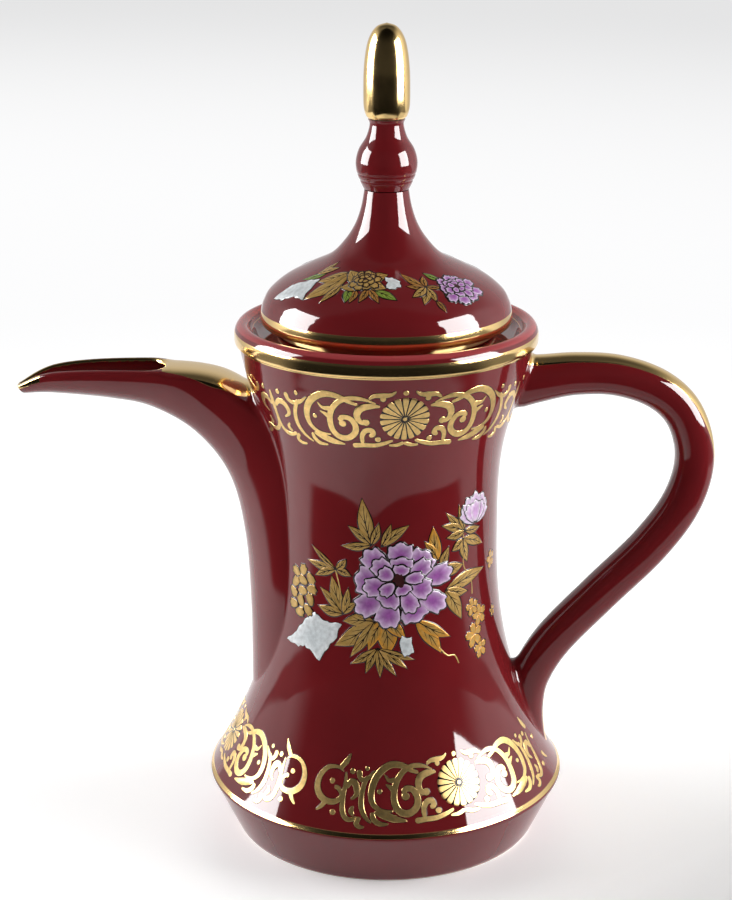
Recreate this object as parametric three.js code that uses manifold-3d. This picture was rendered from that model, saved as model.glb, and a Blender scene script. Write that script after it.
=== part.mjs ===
// A porcelain coffee pot: waisted body, beak spout, ear handle and a lift-off lid with a gilded finial.
// Millimetres, +Z up, standing on z = 0. The spout points along -X and the handle along +X.
import * as THREE from "three";
import { mergeVertices } from "three/addons/utils/BufferGeometryUtils.js";
import Module from "manifold-3d";

const wasm = await Module();
wasm.setup();

// Body, outside
const FOOT_RADIUS = 51.2;
const HIP_RADIUS = 60.2;
const HIP_HEIGHT = 19.2;
const HIP_ROUNDING = 1.2;
const WAIST_RADIUS = 37.1;
const WAIST_HEIGHT = 105;
const NECK_RADIUS = 47.2;
const NECK_HEIGHT = 167.8;
const FLANK_POWER = 2.4;
const NECK_POWER = 1.82;

// Collar, and the sunk ledge inside it that carries the lid
const COLLAR_BULGE = 2.1;
const COLLAR_RISE = 7.6;
const RIM_WIDTH = 5.6;
const LEDGE_DEPTH = 4;
const MOUTH_RADIUS = 34.2;
const MOUTH_LENGTH = 5;

// Body, inside and underneath
const BODY_WALL = 3.8;
const FLOOR_THICKNESS = 5;
const FOOT_RING_WIDTH = 6;
const FOOT_RING_HEIGHT = 2;

// Pouring holes through the wall behind the spout
const HOLE_RADIUS = 2.2;
const HOLE_PITCH = 9;
const HOLE_ROWS = [2, 3, 2, 3];
const LOWEST_ROW_HEIGHT = 72;

// Spout
const SPOUT_REACH = 121;
const SPOUT_STAND = 8.4;
const SPOUT_FOOT_HEIGHT = 40;
const SPOUT_CREST_DROP = 6.7;
const SPOUT_TIP_DROP = 16;
const SPOUT_ROOT_WIDTH = 41;
const BEAK_WIDTH = 20;
const SPOUT_WALL = 2.4;
const SPOUT_WIDEST_SHARE = 0.8;
const TROUGH_LENGTH = 50;
const TROUGH_SQUARENESS = 5;
const SPOUT_CHANNEL_FOOT = 60;

// Handle
const HANDLE_REACH = 108.3;
const HANDLE_WIDTH = 14.8;
const HANDLE_DEPTH = 13;
const HANDLE_FLARE = 2.2;
const HANDLE_TOP_DROP = 10.6;
const HANDLE_FOOT_HEIGHT = 21;

// Places on the handle's centre line: how far inside its reach, under its top or over its foot
const HANDLE_ROOT_INSET = 68;
const HANDLE_NECK_INSET = 53;
const HANDLE_BRIDGE_INSET = 40;
const HANDLE_SHOULDER_INSET = 26;
const HANDLE_BEND_INSET = 12.6;
const HANDLE_BEND_DROP = 5.2;
const HANDLE_CORNER_INSET = 3.8;
const HANDLE_CORNER_DROP = 14;
const HANDLE_OUTERMOST_DROP = 28;
const HANDLE_ELBOW_INSET = 52.2;
const HANDLE_ELBOW_RISE = 30.5;
const HANDLE_FLANK_INSET = 54.2;
const HANDLE_FLANK_RISE = 20;
const HANDLE_JOIN_INSET = 53.6;
const HANDLE_JOIN_RISE = 9;
const HANDLE_END_INSET = 51.4;

// Places on its straight middle: how far inside the reach, over or under the height halfway between its ends
const HANDLE_UPPER_INSET = 3.4;
const HANDLE_UPPER_RISE = 24.7;
const HANDLE_OVER_INSET = 13.5;
const HANDLE_OVER_RISE = 9.2;
const HANDLE_UNDER_INSET = 29.7;
const HANDLE_UNDER_DROP = 8;
const HANDLE_LOWER_INSET = 44.8;
const HANDLE_LOWER_DROP = 24.7;

// Lid
const LID_RADIUS = 40.7;
const LID_EDGE_RADIUS = 35.4;
const LID_EDGE_LIFT = 2.6;
const LID_HEIGHT = 46.2;
const LID_WALL = 3.6;
const FLANGE_WALL = 3;
const FLANGE_DEPTH = 8;

// Finial
const STEM_RADIUS = 7.1;
const BEAD_RADIUS = 9.8;
const BEAD_HEIGHT = 22;
const FINIAL_NECK_RADIUS = 5.4;
const TIP_RADIUS = 7.4;
const TIP_HEIGHT = 29.5;

// Clearances
const JOINT_GAP = 0.3;
const LID_SIDE_CLEARANCE = 0.6;

// How finely round shapes are stepped
const BODY_STEPS = 60;
const LID_STEPS = 44;
const FINIAL_STEPS = 28;
const CUT_STEPS = 90;
const SPOUT_RINGS = 30;
const SPOUT_STEPS = 24;
const HANDLE_RINGS = 40;
const HANDLE_STEPS = 16;

// Heights that follow from the sizes above
const rimTop = NECK_HEIGHT + COLLAR_RISE;
const ledgeHeight = rimTop - LEDGE_DEPTH;
const lidSeat = ledgeHeight + JOINT_GAP;
const lidEdge = lidSeat + LID_EDGE_LIFT;
const stemTop = lidSeat + LID_HEIGHT;
const finialSeat = stemTop + JOINT_GAP;
const tipSeat = finialSeat + BEAD_HEIGHT + JOINT_GAP;

const glaze = new THREE.MeshStandardMaterial({ color: 0x6a1a24, roughness: 0.12, metalness: 0 });
const gilding = new THREE.MeshStandardMaterial({ color: 0xc79a3e, roughness: 0.14, metalness: 1 });

function point(radius, height) {
  return new THREE.Vector2(radius, height);
}

// Points along an arc of an ellipse, angles in degrees from the outward radius.
function arc(centre, across, up, from, to, steps) {
  const points = [];
  for (let i = 0; i <= steps; i++) {
    const angle = THREE.MathUtils.degToRad(from + ((to - from) * i) / steps);
    points.push(point(centre.x + across * Math.cos(angle), centre.y + up * Math.sin(angle)));
  }
  return points;
}

// Turns an outline that starts and ends on the axis into a closed body.
function turned(outline, steps) {
  return closed(new THREE.LatheGeometry(outline, steps).rotateX(Math.PI / 2));
}

// Joins equal vertices and drops the flat triangles that lie on a turned body's axis.
function closed(geometry) {
  geometry.deleteAttribute("normal");
  geometry.deleteAttribute("uv");
  const merged = mergeVertices(geometry, 1e-4);
  const index = merged.getIndex().array;
  const kept = [];
  for (let i = 0; i < index.length; i += 3) {
    const [a, b, c] = [index[i], index[i + 1], index[i + 2]];
    if (a !== b && b !== c && c !== a) {
      kept.push(a, b, c);
    }
  }
  merged.setIndex(kept);
  return merged;
}

function toSolid(geometry) {
  const mesh = new wasm.Mesh({
    numProp: 3,
    vertProperties: Float32Array.from(geometry.getAttribute("position").array),
    triVerts: Uint32Array.from(geometry.getIndex().array),
  });
  return new wasm.Manifold(mesh);
}

function toGeometry(solid) {
  const mesh = solid.getMesh();
  const geometry = new THREE.BufferGeometry();
  geometry.setAttribute("position", new THREE.BufferAttribute(mesh.vertProperties, 3));
  geometry.setIndex(new THREE.BufferAttribute(mesh.triVerts, 1));
  return geometry;
}

// Skins a row of rings of equal length and closes both ends with a fan.
function lofted(rings) {
  const count = rings[0].length;
  const positions = rings.flat().flatMap((p) => [p.x, p.y, p.z]);
  const index = [];
  for (let r = 0; r + 1 < rings.length; r++) {
    for (let i = 0; i < count; i++) {
      const a = r * count + i;
      const b = r * count + ((i + 1) % count);
      index.push(a, b, a + count, b, b + count, a + count);
    }
  }
  for (const [ring, flip] of [[0, true], [rings.length - 1, false]]) {
    const centre = rings[ring].reduce((sum, p) => sum.add(p), new THREE.Vector3()).divideScalar(count);
    const middle = positions.length / 3;
    positions.push(centre.x, centre.y, centre.z);
    for (let i = 0; i < count; i++) {
      const a = ring * count + i;
      const b = ring * count + ((i + 1) % count);
      index.push(...(flip ? [b, a, middle] : [a, b, middle]));
    }
  }
  const geometry = new THREE.BufferGeometry();
  geometry.setAttribute("position", new THREE.Float32BufferAttribute(positions, 3));
  geometry.setIndex(index);
  return geometry;
}

// The outside radius between the hip and the neck: a flank that flares down and a neck that flares up.
function outsideRadius(height) {
  if (height < WAIST_HEIGHT) {
    const down = (WAIST_HEIGHT - height) / (WAIST_HEIGHT - HIP_HEIGHT);
    return WAIST_RADIUS + (HIP_RADIUS - WAIST_RADIUS) * down ** FLANK_POWER;
  }
  const up = Math.min(1, (height - WAIST_HEIGHT) / (NECK_HEIGHT - WAIST_HEIGHT));
  return WAIST_RADIUS + (NECK_RADIUS - WAIST_RADIUS) * Math.sin((Math.PI / 2) * up ** NECK_POWER) ** 2;
}

// The outside from the foot up to the neck, moved outward by a distance.
function outsideOutline(outward) {
  const points = [point(FOOT_RADIUS + outward, 0)];
  points.push(point(HIP_RADIUS - HIP_ROUNDING * 0.4 + outward, HIP_HEIGHT - HIP_ROUNDING));
  points.push(point(HIP_RADIUS + outward, HIP_HEIGHT));
  const first = HIP_HEIGHT + HIP_ROUNDING;
  const steps = 22;
  for (let i = 0; i <= steps; i++) {
    const height = first + (NECK_HEIGHT - first) * (i / steps) ** 1.15;
    points.push(point(outsideRadius(height) + outward, height));
  }
  return points;
}

// The collar's round bulge, its crest and the sunk ledge, from the neck inward to the mouth.
function collarOutline() {
  const halfRim = RIM_WIDTH / 2;
  const widest = NECK_HEIGHT + COLLAR_RISE / 2;
  const centre = point(NECK_RADIUS + COLLAR_BULGE - halfRim, widest);
  const ledgeEdge = centre.x - halfRim;
  return [
    ...arc(centre, halfRim, COLLAR_RISE / 2, -60, 150, 9),
    point(ledgeEdge - LEDGE_DEPTH * 0.35, ledgeHeight + LEDGE_DEPTH * 0.22),
    point(ledgeEdge - LEDGE_DEPTH * 0.75, ledgeHeight),
    point(MOUTH_RADIUS + 0.4, ledgeHeight),
    point(MOUTH_RADIUS, ledgeHeight - 0.4),
  ];
}

// The inside, from the mouth down to the middle of the floor.
function insideOutline() {
  const points = [point(MOUTH_RADIUS, ledgeHeight - MOUTH_LENGTH)];
  const top = ledgeHeight - MOUTH_LENGTH - 10;
  const bottom = HIP_HEIGHT + 4;
  const steps = 12;
  for (let i = 0; i <= steps; i++) {
    const height = top + ((bottom - top) * i) / steps;
    points.push(point(outsideRadius(height) - BODY_WALL, height));
  }
  const floorTop = FOOT_RING_HEIGHT + FLOOR_THICKNESS;
  points.push(point(outsideRadius(bottom) - BODY_WALL - 1, floorTop + 7));
  points.push(point(FOOT_RADIUS - BODY_WALL - 2, floorTop));
  points.push(point(0, floorTop));
  return points;
}

// A row of short round cutters pointing along -X, staggered row by row.
function pouringHoles() {
  const holes = [];
  HOLE_ROWS.forEach((count, row) => {
    for (let i = 0; i < count; i++) {
      const cutter = new THREE.CylinderGeometry(HOLE_RADIUS, HOLE_RADIUS, HIP_RADIUS, 10);
      cutter.rotateZ(Math.PI / 2);
      const across = (i - (count - 1) / 2) * HOLE_PITCH;
      cutter.translate(-HIP_RADIUS / 2, across, LOWEST_ROW_HEIGHT + row * HOLE_PITCH);
      holes.push(toSolid(closed(cutter)));
    }
  });
  return holes;
}

function bodyGeometry() {
  const ringInside = FOOT_RADIUS - FOOT_RING_WIDTH;
  const outline = [
    point(0, FOOT_RING_HEIGHT),
    point(ringInside - 1, FOOT_RING_HEIGHT),
    point(ringInside, 0),
    ...outsideOutline(0),
    ...collarOutline(),
    ...insideOutline(),
  ];
  let body = toSolid(turned(outline, BODY_STEPS));
  for (const hole of pouringHoles()) {
    body = body.subtract(hole);
  }
  return toGeometry(body);
}

// Everything inside the pot's outside, one gap larger, to cut what is stuck on to it.
function outsideCutter() {
  const outline = [point(0, 0), ...outsideOutline(JOINT_GAP), point(0, NECK_HEIGHT)];
  return toSolid(turned(outline, CUT_STEPS));
}

// Keel and top lines of the spout in the middle plane, as distance out from the axis and height.
function spoutLines() {
  const run = WAIST_RADIUS + SPOUT_STAND;
  const inside = WAIST_RADIUS - 13;
  const reach = SPOUT_REACH;
  const crest = NECK_HEIGHT - SPOUT_CREST_DROP;
  const tip = NECK_HEIGHT - SPOUT_TIP_DROP;
  const keel = [
    point(run, SPOUT_FOOT_HEIGHT),
    point(run, crest - 85),
    point(run + 1.6, crest - 58),
    point(run + 6.4, crest - 38),
    point(run + 17, crest - 23.6),
    point(run + 31, crest - 15),
    point(reach - 31, crest - 11.9),
    point(reach - 12, crest - 10.2),
    point(reach - 2.4, tip - 1.2),
  ];
  const top = [
    point(inside, SPOUT_FOOT_HEIGHT),
    point(inside, crest - 82),
    point(inside + 1, crest - 44),
    point(inside + 6, crest - 21),
    point(inside + 22, crest - 7),
    point(reach - 61, crest - 1.6),
    point(reach - 36, crest - 0.5),
    point(reach - 12.5, crest - 2),
    point(reach - 0.8, tip + 2),
  ];
  return { keel: new THREE.SplineCurve(keel), top: new THREE.SplineCurve(top) };
}

// Half the spout's width at a distance out from the axis: a tapering beak on a wide root.
function spoutHalfWidth(out) {
  const run = WAIST_RADIUS + SPOUT_STAND;
  const along = THREE.MathUtils.clamp((out - run) / (SPOUT_REACH - run), 0, 1);
  const beak = (BEAK_WIDTH / 2) * (1 - along ** 5) ** 0.65;
  const root = ((SPOUT_ROOT_WIDTH - BEAK_WIDTH) / 2) * Math.exp(-along / 0.17);
  return beak + root;
}

// How far the spout has opened from a closed pipe (0) into a trough (1), at a distance out from the axis.
function troughShare(out) {
  const start = SPOUT_REACH - TROUGH_LENGTH;
  return THREE.MathUtils.smoothstep(out, start - 2, start + 6);
}

// One ring of the spout: pointed oval below its widest level, flatter above it, and nearly square on the trough.
function spoutRing(keel, top, widest, halfWidth) {
  const length = keel.distanceTo(top);
  const direction = top.clone().sub(keel).divideScalar(length);
  const upperPower = THREE.MathUtils.lerp(2.4, TROUGH_SQUARENESS, troughShare(top.x));
  const ring = [];
  for (let i = 0; i < SPOUT_STEPS; i++) {
    const angle = (2 * Math.PI * i) / SPOUT_STEPS;
    const lower = Math.cos(angle) > 0;
    const power = lower ? 1.85 : upperPower;
    const share = Math.abs(Math.cos(angle)) ** (2 / power);
    const along = lower ? widest * (1 - share) : widest + (length - widest) * share;
    const side = -Math.sign(Math.sin(angle)) * halfWidth * Math.abs(Math.sin(angle)) ** (2 / power);
    const middle = keel.clone().addScaledVector(direction, along);
    ring.push(new THREE.Vector3(-middle.x, side, middle.y));
  }
  return ring;
}

function spoutOuter() {
  const { keel, top } = spoutLines();
  const rings = [];
  for (let i = 0; i <= SPOUT_RINGS; i++) {
    const k = keel.getPoint(i / SPOUT_RINGS);
    const t = top.getPoint(i / SPOUT_RINGS);
    rings.push(spoutRing(k, t, SPOUT_WIDEST_SHARE * k.distanceTo(t), Math.max(1, spoutHalfWidth(k.x))));
  }
  return toSolid(lofted(rings));
}

// The hollow: a channel up from the pouring holes that comes out on top as an open trough.
function spoutHollow() {
  const { keel, top } = spoutLines();
  const rings = [];
  for (let i = 0; i <= SPOUT_RINGS; i++) {
    const k = keel.getPoint(i / SPOUT_RINGS);
    const t = top.getPoint(i / SPOUT_RINGS);
    const halfWidth = spoutHalfWidth(k.x) - SPOUT_WALL;
    if (k.y < SPOUT_CHANNEL_FOOT || halfWidth < 0.7) {
      continue;
    }
    const length = k.distanceTo(t);
    const direction = t.clone().sub(k).divideScalar(length);
    const inner = k.clone().addScaledVector(direction, SPOUT_WALL);
    const outer = t.clone().addScaledVector(direction, THREE.MathUtils.lerp(-SPOUT_WALL, 6, troughShare(t.x)));
    rings.push(spoutRing(inner, outer, SPOUT_WIDEST_SHARE * length - SPOUT_WALL, halfWidth));
  }
  return toSolid(lofted(rings));
}

function spoutGeometry() {
  return toGeometry(spoutOuter().subtract(spoutHollow()).subtract(outsideCutter()));
}

// The handle's centre line: out of the neck, over the shoulder and down to the flank.
function handleLine() {
  const top = NECK_HEIGHT - HANDLE_TOP_DROP;
  const foot = HANDLE_FOOT_HEIGHT;
  const reach = HANDLE_REACH - HANDLE_DEPTH / 2;
  const middle = (top + foot) / 2;
  const points = [
    [reach - HANDLE_ROOT_INSET, top - 3.4],
    [reach - HANDLE_NECK_INSET, top - 1.5],
    [reach - HANDLE_BRIDGE_INSET, top + 0.2],
    [reach - HANDLE_SHOULDER_INSET, top - 0.4],
    [reach - HANDLE_BEND_INSET, top - HANDLE_BEND_DROP],
    [reach - HANDLE_CORNER_INSET, top - HANDLE_CORNER_DROP],
    [reach, top - HANDLE_OUTERMOST_DROP],
    [reach - HANDLE_UPPER_INSET, middle + HANDLE_UPPER_RISE],
    [reach - HANDLE_OVER_INSET, middle + HANDLE_OVER_RISE],
    [reach - HANDLE_UNDER_INSET, middle - HANDLE_UNDER_DROP],
    [reach - HANDLE_LOWER_INSET, middle - HANDLE_LOWER_DROP],
    [reach - HANDLE_ELBOW_INSET, foot + HANDLE_ELBOW_RISE],
    [reach - HANDLE_FLANK_INSET, foot + HANDLE_FLANK_RISE],
    [reach - HANDLE_JOIN_INSET, foot + HANDLE_JOIN_RISE],
    [reach - HANDLE_END_INSET, foot],
  ];
  return new THREE.CatmullRomCurve3(points.map(([x, z]) => new THREE.Vector3(x, 0, z)), false, "centripetal");
}

function handleGeometry() {
  const line = handleLine();
  const rings = [];
  for (let i = 0; i <= HANDLE_RINGS; i++) {
    const along = i / HANDLE_RINGS;
    const centre = line.getPointAt(along);
    const tangent = line.getTangentAt(along);
    const outward = new THREE.Vector3(-tangent.z, 0, tangent.x);
    const flare = HANDLE_FLARE * Math.exp(-Math.max(0, along - 0.05) / 0.05);
    const halfDepth = HANDLE_DEPTH / 2 + Math.min(flare, HANDLE_FLARE);
    const halfWidth = (HANDLE_WIDTH / 2) * (1 - 0.1 * along);
    const ring = [];
    for (let s = 0; s < HANDLE_STEPS; s++) {
      const angle = (2 * Math.PI * s) / HANDLE_STEPS;
      const side = Math.sign(Math.cos(angle)) * Math.abs(Math.cos(angle)) ** 0.9;
      const rise = Math.sign(Math.sin(angle)) * Math.abs(Math.sin(angle)) ** 0.9;
      const p = centre.clone().addScaledVector(outward, halfDepth * rise);
      p.y = halfWidth * side;
      ring.push(p);
    }
    rings.push(ring);
  }
  return toGeometry(toSolid(lofted(rings)).subtract(outsideCutter()));
}

// The dome's outside from its gilded edge up to the foot of the finial.
function domeOutline() {
  const top = stemTop;
  return new THREE.SplineCurve([
    point(LID_EDGE_RADIUS, lidEdge),
    point(LID_RADIUS - 2.4, lidEdge + 1.3),
    point(LID_RADIUS - 0.4, lidEdge + 4),
    point(LID_RADIUS - 0.2, lidEdge + 7.4),
    point(LID_RADIUS - 2.4, lidEdge + 11),
    point(LID_RADIUS - 7.8, lidEdge + 15),
    point(STEM_RADIUS + 18.2, lidEdge + 18.9),
    point(STEM_RADIUS + 10.8, top - 21),
    point(STEM_RADIUS + 6, top - 16),
    point(STEM_RADIUS + 2.9, top - 11),
    point(STEM_RADIUS + 1, top - 5.5),
    point(STEM_RADIUS, top),
  ]).getPoints(22);
}

// The hollow under the dome, from its narrow top down to the flange.
function domeHollow() {
  const inside = MOUTH_RADIUS - LID_SIDE_CLEARANCE - FLANGE_WALL;
  const hollowTop = stemTop - 20;
  const low = lidEdge + 3;
  return new THREE.SplineCurve([
    point(STEM_RADIUS - LID_WALL, hollowTop),
    point(STEM_RADIUS + 7, lidEdge + 18.4),
    point(LID_RADIUS - LID_WALL - 10, lidEdge + 13.4),
    point(LID_RADIUS - LID_WALL - 4, lidEdge + 8.6),
    point(inside + 1.6, low),
    point(inside, low - 3),
  ]).getPoints(9);
}

function lidGeometry() {
  const flangeRadius = MOUTH_RADIUS - LID_SIDE_CLEARANCE;
  const outline = [
    point(flangeRadius - FLANGE_WALL, lidSeat - FLANGE_DEPTH),
    point(flangeRadius - 0.6, lidSeat - FLANGE_DEPTH),
    point(flangeRadius, lidSeat - FLANGE_DEPTH + 0.8),
    point(flangeRadius, lidSeat),
    point(LID_EDGE_RADIUS - 0.2, lidSeat),
    ...domeOutline(),
    point(0, stemTop),
    point(0, stemTop - 20),
    ...domeHollow(),
    point(flangeRadius - FLANGE_WALL, lidSeat - FLANGE_DEPTH),
  ];
  return turned(outline, LID_STEPS);
}

// The bead between two necks, with the lower neck resting on the stem.
function finialGeometry() {
  const low = finialSeat;
  const high = low + BEAD_HEIGHT;
  const side = new THREE.SplineCurve([
    point(STEM_RADIUS + 0.1, low),
    point(STEM_RADIUS + 1.2, low + 2.2),
    point(BEAD_RADIUS - 0.3, low + 5.4),
    point(BEAD_RADIUS, low + 8.8),
    point(BEAD_RADIUS - 1, low + 12.6),
    point(FINIAL_NECK_RADIUS + 1.1, low + 16.4),
    point(FINIAL_NECK_RADIUS, high - 1.8),
    point(FINIAL_NECK_RADIUS + 0.5, high),
  ]);
  return turned([point(0, low), ...side.getPoints(16), point(0, high)], FINIAL_STEPS);
}

// The gilded bullet-shaped tip.
function tipGeometry() {
  const low = tipSeat;
  const high = low + TIP_HEIGHT;
  const side = new THREE.SplineCurve([
    point(TIP_RADIUS - 0.9, low + 0.7),
    point(TIP_RADIUS - 0.2, low + 3),
    point(TIP_RADIUS, low + 7),
    point(TIP_RADIUS - 0.15, high - 14.5),
    point(TIP_RADIUS - 0.9, high - 8),
    point(TIP_RADIUS - 2.2, high - 3.8),
    point(TIP_RADIUS - 4.4, high - 1),
  ]);
  const outline = [point(0, low), point(TIP_RADIUS - 1.7, low), ...side.getPoints(15), point(0, high)];
  return turned(outline, FINIAL_STEPS);
}

function piece(name, geometry, material) {
  geometry.computeVertexNormals();
  const mesh = new THREE.Mesh(geometry, material);
  mesh.name = name;
  return mesh;
}

// The pot is drawn about its own axis; the whole stands with the middle of its length over x = 0.
const pot = new THREE.Group();
pot.position.x = (SPOUT_REACH - HANDLE_REACH) / 2;
pot.add(
  piece("body", bodyGeometry(), glaze),
  piece("spout", spoutGeometry(), glaze),
  piece("handle", handleGeometry(), glaze),
);

const lid = new THREE.Group();
lid.add(
  piece("lid", lidGeometry(), glaze),
  piece("finial", finialGeometry(), glaze),
  piece("finial_tip", tipGeometry(), gilding),
);
pot.add(lid);

const object = new THREE.Group();
object.add(pot);
export default object;
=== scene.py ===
"""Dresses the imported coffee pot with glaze, gilding and painted ornament, and sets up the studio."""

import math

import bmesh
import bpy
import numpy as np
from bpy.props import FloatProperty, FloatVectorProperty, PointerProperty
from mathutils import Matrix, Vector


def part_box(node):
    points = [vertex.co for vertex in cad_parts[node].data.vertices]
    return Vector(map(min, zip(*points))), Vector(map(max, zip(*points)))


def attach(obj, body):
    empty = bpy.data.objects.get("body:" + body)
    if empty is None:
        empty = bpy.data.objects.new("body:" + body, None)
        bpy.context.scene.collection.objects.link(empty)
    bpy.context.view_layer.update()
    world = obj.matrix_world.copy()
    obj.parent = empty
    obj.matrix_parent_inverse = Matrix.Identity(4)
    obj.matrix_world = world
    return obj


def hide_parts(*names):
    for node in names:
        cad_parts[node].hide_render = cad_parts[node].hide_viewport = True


bl_info = {
    "name": "Glazed Coffee Pot",
    "version": (1, 0, 0),
    "blender": (4, 5, 0),
    "location": "3D View > Sidebar > Pot",
    "description": "Glaze, gilding and painted ornament for a porcelain coffee pot",
    "category": "Object",
}

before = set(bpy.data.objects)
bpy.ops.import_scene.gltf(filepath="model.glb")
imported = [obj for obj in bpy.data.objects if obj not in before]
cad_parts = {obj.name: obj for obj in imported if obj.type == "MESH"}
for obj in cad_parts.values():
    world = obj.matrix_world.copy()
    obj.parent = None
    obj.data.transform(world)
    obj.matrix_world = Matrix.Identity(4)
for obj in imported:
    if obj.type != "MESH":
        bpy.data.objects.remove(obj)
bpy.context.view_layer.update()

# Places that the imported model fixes
body_low, body_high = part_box("body")
lid_low, lid_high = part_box("lid")
finial_low, finial_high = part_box("finial")
tip_low, tip_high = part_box("finial_tip")
spout_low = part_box("spout")[0]
handle_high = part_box("handle")[1]
AXIS_X = (body_low[0] + body_high[0]) / 2
FRONT = -math.pi / 2
MM = 0.001
# Points closer together than this become one, and slopes are measured over twice the other
SAME_PLACE = 1e-6
CLOSE_BY = 2e-4
# Length of the round cap on the spout's tip
TIP_ROUND = 0.0008


def metres(label, default, text):
    """A size in metres with its label and what it measures."""
    return FloatProperty(name=label, description=text, default=default, min=0.0, unit="LENGTH", precision=5)


def ratio(label, default, text):
    """A plain number with its label and what it does."""
    return FloatProperty(name=label, description=text, default=default, min=0.0, precision=3)


def degrees(label, default, text):
    """An angle, written in degrees, with its label and what it turns."""
    return FloatProperty(name=label, description=text, default=math.radians(default), subtype="ANGLE")


def tint(label, default, text):
    """A linear colour with its label and where it shows."""
    return FloatVectorProperty(
        name=label, description=text, default=default, size=3, subtype="COLOR", min=0.0, max=1.0
    )


class BodySizes(bpy.types.PropertyGroup):
    """Sizes of the turned body."""

    foot_radius: metres("Foot radius", 0.0512, "Outside of the ring that the pot stands on")
    hip_radius: metres("Hip radius", (body_high[0] - body_low[0]) / 2, "Widest part, just above the foot")
    hip_height: metres("Hip height", 0.0192, "Height of the hip above the table")
    hip_rounding: metres("Hip rounding", 0.0012, "How softly the hip's edge is rounded")
    waist_radius: metres("Waist radius", 0.0371, "Narrowest part")
    waist_height: metres("Waist height", 0.105, "Height of the narrowest part")
    neck_radius: metres("Neck radius", 0.0472, "Radius right under the collar")
    collar_rise: metres("Collar rise", 0.0076, "Height of the rounded collar")
    collar_bulge: metres("Collar bulge", 0.0021, "How far the collar stands out from the neck")
    flank_power: ratio("Flank power", 2.4, "How late the flank flares towards the hip")
    neck_power: ratio("Neck power", 1.82, "How late the neck flares towards the collar")
    rim_width: metres("Rim width", 0.0056, "Thickness of the collar")
    ledge_depth: metres("Ledge depth", 0.004, "How far the lid's seat lies under the rim")
    mouth_radius: metres("Mouth radius", 0.0342, "Radius of the opening under the lid")
    wall: metres("Wall", 0.0038, "Thickness of the body's wall")
    floor_thickness: metres("Floor thickness", 0.005, "Thickness of the bottom")
    foot_ring_width: metres("Foot ring width", 0.006, "Width of the ring that the pot stands on")
    foot_ring_height: metres("Foot ring height", 0.002, "Depth of the recess under the pot")


class SpoutSizes(bpy.types.PropertyGroup):
    """Sizes of the spout."""

    reach: metres("Reach", AXIS_X - spout_low[0] + TIP_ROUND, "Tip of the spout from the pot's axis")
    stand: metres("Stand", 0.0084, "How far the keel stands out from the waist")
    foot_height: metres("Foot height", 0.04, "Height where the keel starts inside the flank")
    crest_drop: metres("Crest drop", 0.0067, "How far the top line lies under the neck's top")
    tip_drop: metres("Tip drop", 0.016, "How far the tip lies under the neck's top")
    root_width: metres("Root width", 0.041, "Width where the spout leaves the body")
    beak_width: metres("Beak width", 0.02, "Width of the beak")
    wall: metres("Wall", 0.0024, "Thickness of the spout's wall")
    trough_length: metres("Trough length", 0.05, "Open part of the beak")
    fillet: metres("Fillet", 0.0022, "Radius of the slip that joins it to the body")


class HandleSizes(bpy.types.PropertyGroup):
    """Sizes of the handle."""

    reach: metres("Reach", handle_high[0] - AXIS_X, "Outermost point from the pot's axis")
    width: metres("Width", 0.0148, "Width across")
    depth: metres("Depth", 0.013, "Thickness in the middle plane")
    flare: metres("Flare", 0.0022, "Extra thickness at the collar")
    top_drop: metres("Top drop", 0.0106, "How far the top end lies under the neck's top")
    foot_height: metres("Foot height", 0.021, "Height of the lower end's centre line")
    fillet: metres("Fillet", 0.002, "Radius of the slip that joins it to the body")


class LidSizes(bpy.types.PropertyGroup):
    """Sizes of the lid and its finial."""

    radius: metres("Radius", (lid_high[0] - lid_low[0]) / 2, "Widest part of the dome")
    edge_radius: metres("Edge radius", 0.0354, "Radius of the gilded edge on the ledge")
    edge_lift: metres("Edge lift", 0.0026, "Height of the edge's rounding")
    wall: metres("Wall", 0.0036, "Thickness of the dome")
    flange_wall: metres("Flange wall", 0.003, "Thickness of the flange in the mouth")
    flange_depth: metres("Flange depth", 0.008, "How far the flange reaches into the mouth")
    side_clearance: metres("Side clearance", 0.0006, "Play between flange and mouth")
    stem_radius: metres("Stem radius", 0.0071, "Radius where the finial starts")
    bead_radius: metres("Bead radius", 0.0098, "Radius of the maroon bead")
    finial_neck_radius: metres("Finial neck radius", 0.0054, "Radius between bead and tip")
    tip_radius: metres("Tip radius", 0.0074, "Radius of the gilded tip")


class OrnamentSizes(bpy.types.PropertyGroup):
    """Places of the bands, bouquets and garlands."""

    scroll_rise: metres("Scroll relief", 0.00006, "How far the gold scrolls stand out")
    scroll_weight: ratio("Scroll weight", 1.35, "How much wider the strips are than they were drawn")
    neck_band_height: metres("Neck band height", 0.1547, "Middle of the scroll band under the collar")
    neck_band_radius: metres("Neck band radius", 0.0445, "Radius that the neck band is drawn for")
    neck_band_turn: degrees("Neck band turn", 7.5, "First medallion on the neck, from the front")
    hip_band_height: metres("Hip band height", 0.0333, "Middle of the scroll band above the hip")
    hip_band_radius: metres("Hip band radius", 0.0525, "Radius that the hip band is drawn for")
    hip_band_turn: degrees("Hip band turn", 27.1, "First medallion on the hip, from the front")
    bouquet_height: metres("Bouquet height", 0.098, "Middle of the bouquets")
    garland_height: metres("Garland height", 0.1905, "Middle of the garlands on the lid")


class Finish(bpy.types.PropertyGroup):
    """Colours of the glaze, the gilding and the bare clay."""

    glaze: tint("Glaze", (0.172, 0.0122, 0.0152), "Maroon glaze")
    gold: tint("Gold", (0.8, 0.56, 0.24), "Burnished gold")
    clay: tint("Clay", (0.74, 0.66, 0.58), "Unglazed edge of the foot")


def signed_power(value, power):
    """A power of a number's size, with the number's own sign."""
    return np.sign(value) * np.abs(value) ** power


def full_turn(steps):
    """Angles all the way round, without the last."""
    return np.linspace(0, 2 * math.pi, steps, endpoint=False)


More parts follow.
